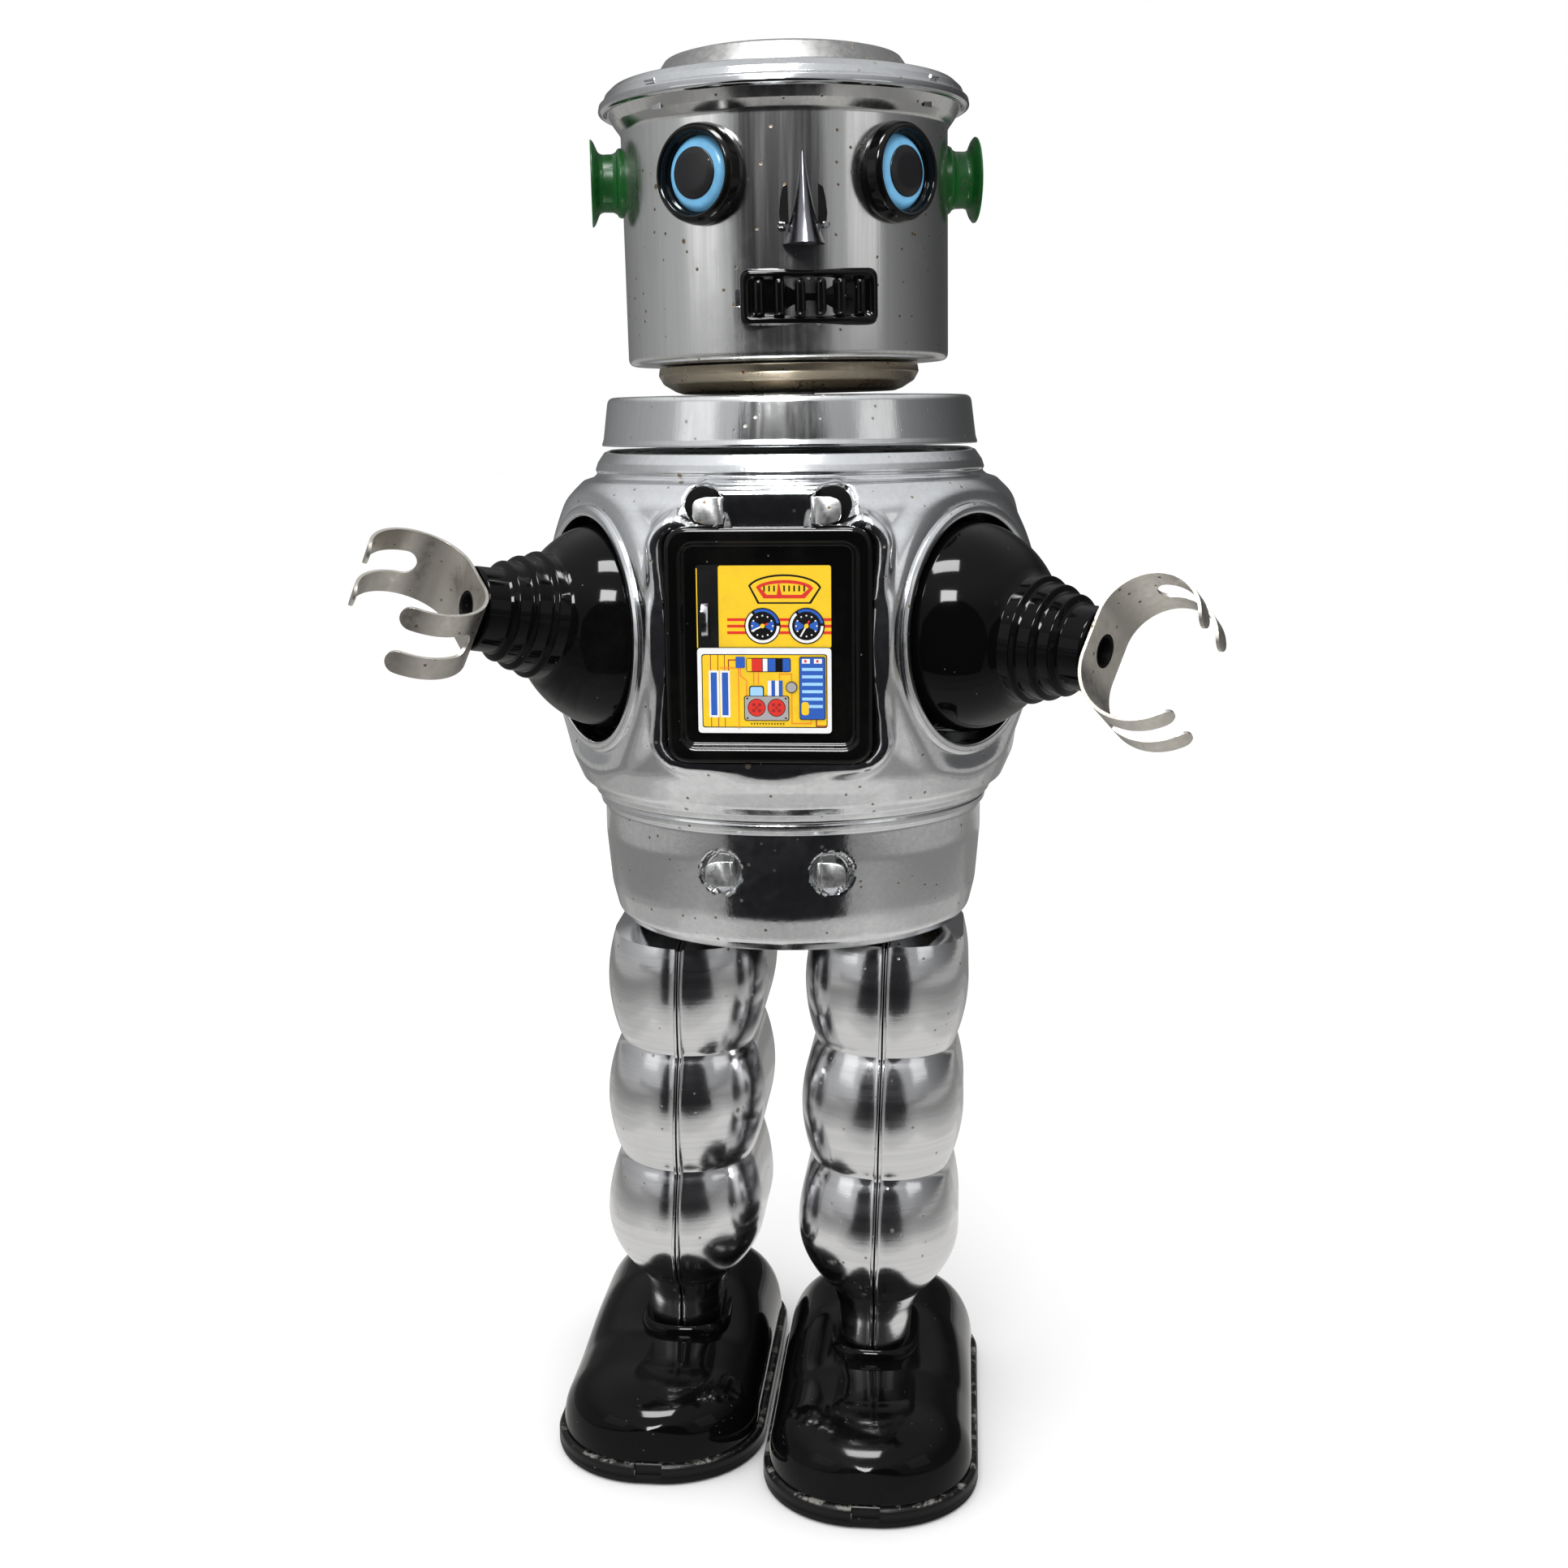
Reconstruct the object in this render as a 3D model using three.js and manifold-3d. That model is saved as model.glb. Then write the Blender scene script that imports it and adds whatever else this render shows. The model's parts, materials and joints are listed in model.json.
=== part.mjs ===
// Wind-up tin walking robot, about 231 mm tall, in millimetres, +Z up.
// The robot faces -Y, and +X is its own left. Every shape is worked out round the upright
// axis of its round body, and the finished group is moved so that the middle of the
// bottom of its bounding box is the origin.

import * as THREE from "three";
import { mergeVertices } from "three/addons/utils/BufferGeometryUtils.js";
import Module from "manifold-3d";

const wasm = await Module();
wasm.setup();

// ---------- driving dimensions (mm and degrees) ----------

const GAP = 0.3;                      // clearance between pieces that touch
const TIN = 0.6;                      // pressed tinplate
const ROUND = 24;                     // facets round the large revolved shells
const FINE = 12;                      // facets round small pins and bosses

const WAIST_BOTTOM_Z = 91.2;
const BODY_TOP_Z = 169.6;
const SEAM_GAP = 0.15;                // half the gap between the front and back shells
const NECK_HOLE_R = 18;               // hole in the body's top, under the collar
const TOOL = 120;                     // a cutting tool longer than anything it cuts

const COLLAR = { bottomZ: 170.5, topZ: 178, bottomR: 30.9, topR: 29.9, edge: 1.3 };
const HEAD = { bottomZ: 183.2, topZ: 221.2, bottomR: 26.2, topR: 26.3, yaw: 11, tilt: -0.6, hub: 4.2 };
const LID = { brimZ: 222.8, bandZ: 226.4, brimR: 29.5, bandR: 28.9, capR: 20, topZ: 230.8 };
const EYELET = { boreR: 2.6, washerR: 6.8, washerT: 0.8 };
const EYE = {
  angle: 33.2, turn: 8, z: 210.6, ringR: 7.4, ringIn: 5.6, tubeR: 4.9, domeR: 5.3, seat: 0.5, stand: 3,
};
const EAR = { z: 212, boreR: 2.6, barrelR: 4.5, flareR: 6.6, outerX: 31.1 };
const NOSE = { bottomZ: 199.9, topZ: 214, halfWidth: 3, stand: 5.2, tabZ: 204.5 };
const MOUTH = { x: 0.8, z: 192.3, width: 20.8, height: 8.3, ribs: 6 };

const ARM = { angle: 57, holeD: 34.6, holeR: 18, holeZ: 141.5, rimR: 19.6 };
const DOME = { r: 17, wall: 1.2, z: 142 };
const ARM_SET = {                     // plan angle, pivot distance, lift, claw roll, lower prong curl
  left: { yaw: 57, reach: 32.9, lift: -5, roll: -32, curl: 318 },
  right: { yaw: 50.8, reach: 31.4, lift: 9.5, roll: 60, curl: 308 },
};
const CLAW = {                        // a strip bent round two arcs, each end slotted from slotX
  width: 11.4, tin: 0.5, prong: 3.7, palmX: 26.8, holeR: 2.6,
  upper: { x: 8, z: 3.6, r: 8, end: 8, slotX: 6 },
  lower: { x: 9.4, z: -2.6, r: 9.4, slotX: 5 },
};
const CLAW_EYELET = { boreR: 1.6, tubeR: 2.2, headR: 3.2, headT: 0.4, depth: 4 };
const ARM_PIN_R = 1;

const FRAME = { width: 31.2, height: 35.6, z: 141, front: -38.6, back: -36.3, lip: 2 };
const STICKER = { x: -0.7, z: 140.4, width: 20.2, height: 25.2 };
const RECESS = 1.1;                   // how far the panel lies behind the frame's front edge
const SLOT = { x: -9.3, z: 147, width: 2.6, height: 11.6 };
const LEVER = { tipY: 2.9, tipR: 2.9, pivotY: 11.6, drop: 2.4, pinR: 0.9, hubR: 2.2, cheekX: 2.2 };
const LUGS = {                        // the brackets' tongues: height, size, strip and fold depths
  x: 8.2, tin: 0.7, stripWidth: 20, stripT: 0.8,
  upper: { z: 161.1, height: 4.4, insideY: -30.4, outsideY: -38.9 },
  lower: { z: 104.4, height: 4.6, insideY: -28.3, outsideY: -32.4 },
};

const HIP_Z = 104;
const LEG = {
  x: 17.2, lobeR: 13.9, pinchR: 11.5, spread: 7.2, lean: -1.9, stride: 2.2,
  ankleZ: 25, pinchZ: [48, 69.2], topZ: 91.5, flange: 0.9, flangeT: 1.3,
};
const HANGER = { x: 2.2, t: 0.8, width: 9.2, height: 42, windowWidth: 6.8, windowHeight: 7.4 };
const SHOE = { width: 36, length: 70, soleH: 3.6, toeR: 16.5, heelR: 13, toeH: 13.8, heelH: 18.4 };
const SOLE_WALL = 1.4;
const NOTCH_WIDTH = 4.6;              // the gap in the sole's front edge
const ANKLE_HOLE_R = 7.3;
const COLUMN_Y = 2;                   // how far behind the hip rod a leg's middle line lies
const LEG_ANKLE_Z = 18;
const ROLLER = { r: 3.2, width: 8, axleR: 1, axleLength: 24, z: 3.4, lugX: 10.5, windowX: 11, windowY: 8 };
const SHOE_PLACE = { left: [14.5, -9], right: [-22.3, 1] };

const MODULE = 0.8;                   // gear module
const TEETH = { great: 24, pinion: 8, second: 20, crown: 16 };
const GEAR_Y = { great: 8, fast: -7.3 }; // rear faces of the slow pair and of the fast gears
const PIN_R = 0.9;                    // gear shafts and crank pins
const ROD_R = 1.2;                    // hip rod and crankshaft
const MOTOR = { halfX: 11, plateY: 9.5, plateT: 0.8, bottomZ: 98, topZ: 150 };
const ARBOR_Z = 137;
const ARBOR = { r: 1.6, collarR: 2.4, collarT: 1.2, frontY: -9.4, backY: 44.6 };
const KEY = { sleeveR: 2.9, frontY: 40.4, backY: 48.8, boreEndY: 45.2, wingX: 6.6, wingY: 49.6, t: 1.1 };
const SPRING = { turns: 4, startR: 3, growth: 6.4, tin: 0.4, width: 7, backY: 5.2 };
const SECOND = { x: 8, z: 127 };
const GOVERNOR_Z = 138.2;
const CRANK_Z = 119.16;
const CRANK_Y = -1.6;
const CRANK_THROW = 1.4;

// ---------- geometry helpers ----------

const rad = THREE.MathUtils.degToRad;

function toSolid(geometry) {
  const bare = geometry.index ? geometry.toNonIndexed() : geometry.clone();
  bare.deleteAttribute("normal");
  bare.deleteAttribute("uv");
  const merged = mergeVertices(bare, 1e-4);
  const corners = [];
  for (let i = 0; i < merged.index.count; i += 3) {
    const [a, b, c] = [0, 1, 2].map((k) => merged.index.getX(i + k));
    if (a !== b && b !== c && c !== a) {
      corners.push(a, b, c);
    }
  }
  return new wasm.Manifold(new wasm.Mesh({
    numProp: 3,
    vertProperties: Float32Array.from(merged.attributes.position.array),
    triVerts: Uint32Array.from(corners),
  }));
}

function toGeometry(solid) {
  const mesh = solid.getMesh();
  const geometry = new THREE.BufferGeometry();
  geometry.setAttribute("position", new THREE.BufferAttribute(mesh.vertProperties, 3));
  geometry.setIndex(new THREE.BufferAttribute(mesh.triVerts, 1));
  return geometry;
}

function cut(solid, ...tools) {
  return tools.reduce((rest, tool) => rest.subtract(tool), solid);
}

function join(...solids) {
  return solids.reduce((whole, piece) => whole.add(piece));
}

// Revolves [radius, z] points round the Z axis. They may run either way round the section.
function lathe(points, facets = ROUND, phase = 0) {
  const outline = points.map(([r, z]) => new THREE.Vector2(r, z));
  if (THREE.ShapeUtils.area(outline) < 0) {
    outline.reverse();
  }
  const geometry = new THREE.LatheGeometry(outline, facets, phase);
  geometry.rotateX(Math.PI / 2);
  return geometry;
}

function box(sizeX, sizeY, sizeZ, x = 0, y = 0, z = 0) {
  return new THREE.BoxGeometry(sizeX, sizeY, sizeZ).translate(x, y, z);
}

// A cylinder along "x", "y" or "z", centred on the given point.
function rod(axis, radius, length, x = 0, y = 0, z = 0, facets = FINE) {
  const geometry = new THREE.CylinderGeometry(radius, radius, length, facets);
  if (axis === "x") {
    geometry.rotateZ(Math.PI / 2);
  }
  if (axis === "z") {
    geometry.rotateX(Math.PI / 2);
  }
  return geometry.translate(x, y, z);
}

// An outline drawn in the XY plane, given a thickness along Z from z = 0.
function slab(shape, thickness, curveSegments = 3) {
  return new THREE.ExtrudeGeometry(shape, { depth: thickness, bevelEnabled: false, curveSegments });
}

// Stands a slab up, so that its outline lies in the XZ plane and its thickness runs along -Y.
function standing(geometry, x, y, z) {
  return geometry.rotateX(Math.PI / 2).translate(x, y, z);
}

function roundedRectangle(width, height, radius) {
  const [w, h] = [width / 2, height / 2];
  const shape = new THREE.Shape();
  shape.absarc(w - radius, h - radius, radius, 0, Math.PI / 2);
  shape.absarc(-w + radius, h - radius, radius, Math.PI / 2, Math.PI);
  shape.absarc(-w + radius, -h + radius, radius, Math.PI, 1.5 * Math.PI);
  shape.absarc(w - radius, -h + radius, radius, 1.5 * Math.PI, 2 * Math.PI);
  shape.closePath();
  return shape;
}

function arcPoints(cx, cy, radius, fromDegrees, toDegrees, steps) {
  return Array.from({ length: steps + 1 }, (_, i) => {
    const angle = rad(fromDegrees + ((toDegrees - fromDegrees) * i) / steps);
    return new THREE.Vector2(cx + radius * Math.cos(angle), cy + radius * Math.sin(angle));
  });
}

// The outline of a strip of even thickness bent along a row of points.
function ribbon(points, thickness) {
  const side = (sign) => points.map((point, i) => {
    const before = points[Math.max(i - 1, 0)];
    const after = points[Math.min(i + 1, points.length - 1)];
    const along = after.clone().sub(before).normalize();
    const across = new THREE.Vector2(-along.y, along.x);
    return point.clone().addScaledVector(across, (sign * thickness) / 2);
  });
  return new THREE.Shape([...side(1), ...side(-1).reverse()]);
}

// A slab across one side of the plane y = 0, kept clear of it by the seam gap.
function behindSeam(sign) {
  return toSolid(box(TOOL, TOOL, 2 * TOOL, 0, sign * (TOOL / 2 + SEAM_GAP), TOOL));
}

// ---------- materials ----------

function finish(color, roughness, metalness) {
  return () => new THREE.MeshStandardMaterial({ color, roughness, metalness });
}

const chrome = finish(0xd8dadc, 0.16, 1);
const tin = finish(0xc4c4c2, 0.26, 1);
const nickel = finish(0xb9b6ab, 0.34, 1);
const steel = finish(0x8e9196, 0.42, 1);
const brass = finish(0xb58d3f, 0.35, 1);
const blackPlastic = finish(0x08080a, 0.12, 0);
const blackEnamel = finish(0x0a0a0c, 0.15, 0);
const greenEnamel = finish(0x14602a, 0.4, 0);
const irisBlue = finish(0x4a9fd6, 0.2, 0);
const gunmetal = finish(0x33343a, 0.22, 1);
const print = finish(0xe0b010, 0.35, 0);

// ---------- assembly helpers ----------

const robot = new THREE.Group();

function add(parent, name, shape, material) {
  const geometry = shape instanceof THREE.BufferGeometry ? toGeometry(toSolid(shape)) : toGeometry(shape);
  const mesh = new THREE.Mesh(geometry, material());
  mesh.name = name;
  parent.add(mesh);
}

function group(parent, x, y, z) {
  const child = new THREE.Group();
  child.position.set(x, y, z);
  parent.add(child);
  return child;
}

// Runs a builder once for each side of the robot: +1 is its left, -1 its right.
function bothSides(build) {
  build("left", 1);
  build("right", -1);
}

// ---------- body shells ----------

// Outer outline of the body from the waist's rolled edge to the top, as [radius, z].
const BODY_OUTLINE = [
  [26.9, WAIST_BOTTOM_Z + 0.5], [28.4, WAIST_BOTTOM_Z], [29.9, 92.4], [31.2, 97], [32, 106], [32, 111.6],
  [33.3, 112.4], [33.3, 113.6], [35.2, 115.4], [37.2, 119.6], [38.6, 128], [39.1, 142], [38.7, 155],
  [36.9, 162], [33.4, 165.4], [30.6, 167.6], [28.6, BODY_TOP_Z],
];

// The same wall's inside, as [radius, z].
const BODY_INSIDE = [
  [26.3, WAIST_BOTTOM_Z - 1.5], [27.8, WAIST_BOTTOM_Z + TIN], [29.9, 94.6], [31.3, 104], [31.3, 113], [36.2, 119.4],
  [37.9, 128], [38.4, 142], [37.9, 155], [32.7, 164.9], [28, BODY_TOP_Z - TIN],
];

function bodySolid(wall) {
  const [low, high] = [wall[0][1], wall[wall.length - 1][1]];
  return toSolid(lathe([[0, low], ...wall, [0, high]], ROUND, Math.PI / ROUND));
}

// Turn in plan that swings +X round to a direction so many degrees out from forward.
function outwards(sign, angle) {
  return rad(sign > 0 ? angle - 90 : 270 - angle);
}

// A round tool lying along an arm's axis, between two distances from the body's axis.
function armCylinder(sign, radius, near, far) {
  const tool = rod("x", radius, far - near, (near + far) / 2, 0, 0, 20);
  return toSolid(tool.rotateZ(outwards(sign, ARM.angle)).translate(0, 0, ARM.holeZ));
}

function lugSlots({ z, height, outsideY }) {
  return [-LUGS.x, LUGS.x].map((x) => toSolid(box(1.4, 12, height, x, outsideY + 4, z)));
}

function buildBodyShells() {
  const outer = bodySolid(BODY_OUTLINE);
  const inner = bodySolid(BODY_INSIDE);
  const neckHole = toSolid(rod("z", NECK_HOLE_R, 8, 0, 0, BODY_TOP_Z, ROUND));
  const shell = cut(outer, inner, neckHole);

  // The pressed pocket that the chest frame sits in, open to the front.
  const pocket = (grow, floorY) => {
    const [width, height] = [FRAME.width + 2 * (GAP + grow), FRAME.height + 2 * (GAP + grow)];
    return toSolid(box(width, TOOL, height, 0, floorY - TOOL / 2, FRAME.z));
  };
  const floorY = FRAME.back + GAP;
  const tray = cut(pocket(TIN, floorY + TIN), pocket(0, floorY)).intersect(outer);

  let front = shell.intersect(behindSeam(-1));
  front = cut(front, pocket(TIN / 2, floorY + 2)).add(tray);
  for (const sign of [1, -1]) {
    const rim = cut(armCylinder(sign, ARM.rimR, 32, 37.2), armCylinder(sign, ARM.holeR, 31, 38));
    front = cut(front, armCylinder(sign, ARM.rimR - 0.2, 20, 60)).add(rim.intersect(behindSeam(-1)));
  }
  const leverSlot = toSolid(box(SLOT.width, 6, SLOT.height, SLOT.x, -36, SLOT.z));
  front = cut(front, leverSlot, ...lugSlots(LUGS.upper), ...lugSlots(LUGS.lower));
  add(robot, "body_front_shell", front, chrome);

  const keyHole = toSolid(rod("y", ARBOR.r + 2 * GAP, 12, 0, 38, ARBOR_Z));
  add(robot, "body_back_shell", cut(shell.intersect(behindSeam(1)), keyHole), chrome);
}

// ---------- collar, neck and head ----------

function buildCollar() {
  const { bottomZ, topZ, bottomR, topR, edge } = COLLAR;
  const outline = [
    [HEAD.hub + GAP, topZ], [topR - edge, topZ], [topR - 0.3, topZ - 0.4], [topR, topZ - edge],
    [bottomR, bottomZ], [bottomR - TIN, bottomZ], [topR - TIN, topZ - edge - 0.3],
    [topR - edge, topZ - TIN], [HEAD.hub + GAP, topZ - TIN], [HEAD.hub + GAP, topZ],
  ];
  add(robot, "collar", lathe(outline), tin);

  // The eyelet that the head turns on: a tube with a washer face at each end.
  const low = topZ - TIN - GAP;
  const high = HEAD.bottomZ + TIN + GAP;
  const { boreR, washerR, washerT } = EYELET;
  const tube = [
    [boreR, low - washerT], [washerR, low - washerT], [washerR, low], [HEAD.hub, low], [HEAD.hub, high],
    [washerR, high], [washerR, high + washerT], [boreR, high + washerT], [boreR, low - washerT],
  ];
  add(robot, "neck_eyelet", lathe(tube, FINE), steel);
}

// Radius of the head can at a height.
function headRadius(z) {
  return THREE.MathUtils.mapLinear(z, HEAD.bottomZ, HEAD.topZ, HEAD.bottomR, HEAD.topR);
}

// The middle of an eye socket on the can's face.
function eyePlace(sign) {
  const angle = rad(EYE.angle);
  const radius = headRadius(EYE.z);
  return { x: sign * radius * Math.sin(angle), y: -radius * Math.cos(angle) };
}

function mouthTabX() {
  return MOUTH.width / 2 - 1.6;
}

function buildHeadCan(head) {
  const { bottomZ, topZ, bottomR, topR, hub } = HEAD;
  const outline = [
    [hub + GAP, bottomZ], [bottomR - 0.8, bottomZ], [bottomR, bottomZ + 0.8], [topR, topZ], [28, topZ + 1.6],
    [28, topZ + 2.1], [topR - TIN, topZ + 0.4], [bottomR - TIN, bottomZ + TIN],
    [hub + GAP, bottomZ + TIN], [hub + GAP, bottomZ],
  ];
  let can = toSolid(lathe(outline));
  for (const sign of [1, -1]) {
    const eyeHole = rod("y", EYE.tubeR + GAP, 12).rotateZ(sign * rad(EYE.angle + EYE.turn));
    const { x, y } = eyePlace(sign);
    const earHole = rod("x", EAR.boreR, 12, sign * topR, 0, EAR.z);
    const mouthSlot = box(0.9, 8, 3, MOUTH.x + sign * mouthTabX(), -topR, MOUTH.z);
    can = cut(can, toSolid(eyeHole.translate(x, y, EYE.z)), toSolid(earHole), toSolid(mouthSlot));
  }
  can = cut(can, toSolid(box(3.4, 8, 0.9, 0, -topR, NOSE.tabZ)));
  add(head, "head_can", can, tin);
}

function buildLid(head) {
  const { brimZ, bandZ, brimR, bandR, capR, topZ } = LID;
  const outline = [
    [0, topZ - 0.3], [capR - 3, topZ], [capR - 1, topZ - 1.2], [capR + 0.2, bandZ + 0.4], [bandR - 0.4, bandZ],
    [bandR, bandZ - 0.5], [brimR, brimZ + 0.2], [brimR - 0.9, brimZ], [bandR - 0.8, bandZ - 1], [capR, bandZ - 0.4],
    [capR - 1.8, topZ - 1.7], [0, topZ - 1.1],
  ];
  let lid = toSolid(lathe(outline));
  for (const angle of [35, 145, 215, 325]) {
    const tab = join(
      toSolid(box(0.6, 2.2, 4, 28.6, 0, brimZ + 0.6)),
      toSolid(box(2.2, 2.2, 0.5, 27.8, 0, brimZ - 1.35)),
    );
    lid = lid.add(tab.rotate([0, 0, angle - 90]));
  }
  add(head, "head_lid", lid, chrome);
}

function buildNeckCup(head) {
  const top = HEAD.bottomZ - GAP;
  const bottom = COLLAR.topZ + 0.9;
  const outline = [
    [HEAD.hub + GAP, bottom], [19, bottom], [20.2, bottom + 0.6], [22.6, top], [21.8, top], [19.4, bottom + 1],
    [18.6, bottom + TIN], [HEAD.hub + GAP, bottom + TIN], [HEAD.hub + GAP, bottom],
  ];
  add(head, "neck_cup", lathe(outline), tin);
}

function buildEyes(head) {
  const { turn, ringR, ringIn, tubeR, domeR, seat, stand } = EYE;
  const step = seat + 0.4;
  const base = step + GAP;
  bothSides((side, sign) => {
    const { x, y } = eyePlace(sign);
    const socket = group(head, x, y, EYE.z);
    socket.rotation.z = sign * rad(EYE.angle + turn);
    const ring = lathe([
      [tubeR - 0.4, -2], [tubeR - 0.4, step], [ringIn, step], [ringIn + 0.4, stand], [ringR - 0.8, stand - 0.3],
      [ringR, stand - 1.4], [ringR, seat], [tubeR, seat], [tubeR, -2], [tubeR - 0.4, -2],
    ], 18);
    add(socket, `eye_ring_${side}`, ring.rotateX(Math.PI / 2), blackEnamel);
    const dome = lathe([
      [0, base], [domeR, base], [domeR, base + 0.5], [domeR * 0.8, base + 1.4], [domeR * 0.45, base + 2],
      [0, base + 2.2],
    ], 16);
    add(socket, `eye_${side}`, dome.rotateX(Math.PI / 2), irisBlue);
  });
}

function buildNose(head) {
  const { bottomZ, topZ, halfWidth, stand, tabZ } = NOSE;
  const cone = new THREE.ConeGeometry(1, topZ - bottomZ, 12);
  cone.rotateX(Math.PI / 2);
  cone.scale(halfWidth, stand, 1);
  cone.translate(0, -headRadius(bottomZ) + 0.4, (topZ + bottomZ) / 2);
  const face = toSolid(lathe([
    [0, 180], [headRadius(180) + GAP, 180], [headRadius(222) + GAP, 222], [0, 222],
  ]));
  const tab = toSolid(box(2.4, 4.4, 0.5, 0, -HEAD.topR, tabZ));
  add(head, "nose", cut(toSolid(cone), face).add(tab), gunmetal);
}

function buildMouth(head) {
  const { z, width, height, ribs } = MOUTH;
  const back = headRadius(z) + GAP;
  const face = back + 1.6;
  const band = cut(
    toSolid(rod("z", face, height, 0, 0, z, 2 * ROUND)),
    toSolid(rod("z", back, height + 2, 0, 0, z, 2 * ROUND)),
  );
  let plate = band.intersect(toSolid(box(width, 20, height, MOUTH.x, -25, z)));
  for (let i = 0; i < ribs; i += 1) {
    const x = MOUTH.x + ((i - (ribs - 1) / 2) * (width - 5)) / (ribs - 1);
    const spine = rod("z", 0.7, height - 3.4, x, -Math.sqrt((face - 0.1) ** 2 - x * x), z, 8);
    plate = plate.add(toSolid(spine));
  }
  for (const sign of [1, -1]) {
    plate = plate.add(toSolid(box(0.4, 3, 2.4, MOUTH.x + sign * mouthTabX(), -24.4, z)));
  }
  add(head, "mouth", plate, blackEnamel);
}

function buildEars(head) {
  const { z, barrelR, flareR, outerX } = EAR;
  const start = headRadius(z) + GAP;
  const spool = lathe([
    [0, start - 2.6], [2.2, start - 2.6], [2.2, start + 0.1], [6.4, start + 0.1], [6.4, start + 0.6],
    [barrelR, start + 0.9], [barrelR, outerX - 1.8], [flareR, outerX - 0.4], [flareR, outerX],
    [3.9, outerX - 1.6], [3.9, start + 1.6], [0, start + 1.6],
  ], 16);
  bothSides((side, sign) => {
    const ear = spool.clone().rotateY(sign * (Math.PI / 2)).translate(0, 0, z);
    add(head, `ear_${side}`, ear, greenEnamel);
  });
}

function buildHead() {
  const neck = group(robot, 0, 0, COLLAR.topZ);
  neck.rotation.set(0, rad(HEAD.tilt), rad(HEAD.yaw), "YXZ");
  const head = group(neck, 0, 0, -COLLAR.topZ);
  buildNeckCup(head);
  buildHeadCan(head);
  buildLid(head);
  buildEyes(head);
  buildNose(head);
  buildMouth(head);
  buildEars(head);
}

// ---------- chest panel ----------

function buildChest() {
  const { width, height, z, front, back, lip } = FRAME;
  const plate = standing(slab(roundedRectangle(width, height, 3.4), back - front), 0, back, z);
  const hollow = slab(roundedRectangle(width - 2 * lip, height - 2 * lip, 2.4), 2);
  const recess = standing(hollow, 0, front + RECESS, z);
  const slot = toSolid(box(SLOT.width, 8, SLOT.height, SLOT.x, front, SLOT.z));
  add(robot, "chest_frame", cut(toSolid(plate), toSolid(recess), slot), blackEnamel);

  const sheetT = 0.3;
  const sheetY = front + RECESS - GAP - sheetT / 2;
  const sheet = box(STICKER.width, sheetT, STICKER.height, STICKER.x, sheetY, STICKER.z);
  add(robot, "control_panel", cut(toSolid(sheet), slot), print);

  // The start lever: a tin arm on a pivot behind the panel, its curved tip in the slot.
  const { tipY, pivotY, drop, tipR, pinR, hubR, cheekX } = LEVER;
  const leverZ = SLOT.z - drop;
  const leverT = 0.8;
  const arm = join(
    toSolid(box(leverT, pivotY - tipY, hubR, SLOT.x, front + (pivotY + tipY) / 2, leverZ)),
    toSolid(rod("x", tipR, leverT, SLOT.x, front + tipY, leverZ, 14)),
    toSolid(rod("x", hubR, 1.5 * leverT, SLOT.x, front + pivotY, leverZ, 14)),
  );
  const pivotHole = toSolid(rod("x", pinR + GAP, 4, SLOT.x, front + pivotY, leverZ));
  add(robot, "start_lever", cut(arm, pivotHole), nickel);

  // The two cheeks that carry the lever's pivot pin, behind the panel's pocket.
  const cheekFront = back + 1.4;
  const cheekEnd = front + pivotY + 2;
  const cheeks = [-cheekX, cheekX].map((x) => {
    return toSolid(box(leverT, cheekEnd - cheekFront, 5, SLOT.x + x, (cheekEnd + cheekFront) / 2, leverZ));
  });
  const pivot = toSolid(rod("x", pinR, 2 * cheekX + leverT, SLOT.x, front + pivotY, leverZ));
  add(robot, "lever_bracket", join(pivot, ...cheeks), steel);
}

// A cross strip behind the front shell, with two tongues that pass through slots and fold outwards.
function buildBracket(name, { z, height, insideY, outsideY }) {
  const { tin: thickness, stripWidth, stripT } = LUGS;
  let bracket = toSolid(box(stripWidth, stripT, height + 2, 0, insideY, z));
  for (const sign of [1, -1]) {
    const reach = insideY - outsideY + stripT;
    const tongue = box(thickness, reach, height - 0.8, sign * LUGS.x, (insideY + outsideY) / 2, z);
    const lug = new THREE.Shape();
    lug.moveTo(0, -2.1);
    lug.absarc(1.6, 0, 2.1, -Math.PI / 2, Math.PI / 2);
    lug.lineTo(0, 2.1);
    const fold = slab(lug, thickness).rotateX(Math.PI / 2);
    if (sign < 0) {
      fold.rotateZ(Math.PI).translate(0, -thickness, 0);
    }
    fold.translate(sign * (LUGS.x - thickness / 2), outsideY + thickness / 2, z);
    bracket = bracket.add(toSolid(tongue)).add(toSolid(fold));
  }
  add(robot, name, bracket, chrome);
}

// ---------- clockwork motor ----------

function gearShape(teeth, bore, tip = 0.6, root = 0.95) {
  const pitchR = (teeth * MODULE) / 2;
  const step = (2 * Math.PI) / teeth;
  const shape = new THREE.Shape();
  for (let i = 0; i < teeth; i += 1) {
    const corners = [[-0.25, -root], [-0.1, tip], [0.1, tip], [0.25, -root]];
    for (const [turn, rise] of corners) {
      const angle = (i + turn) * step;
      const r = pitchR + rise * MODULE;
      const draw = i === 0 && turn === -0.25 ? "moveTo" : "lineTo";
      shape[draw](r * Math.cos(angle), r * Math.sin(angle));
    }
  }
  shape.closePath();
  if (bore) {
    const hole = new THREE.Path();
    hole.absarc(0, 0, bore, 0, 2 * Math.PI, true);
    shape.holes.push(hole);
  }
  return shape;
}

// A gear standing on an axis along Y, from y to y - thickness, turned by a tooth phase in degrees.
function gear(teeth, thickness, x, y, z, phase = 0) {
  const blank = slab(gearShape(teeth, 0), thickness, 3).rotateZ(rad(phase));
  return toSolid(standing(blank, x, y, z));
}

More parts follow.
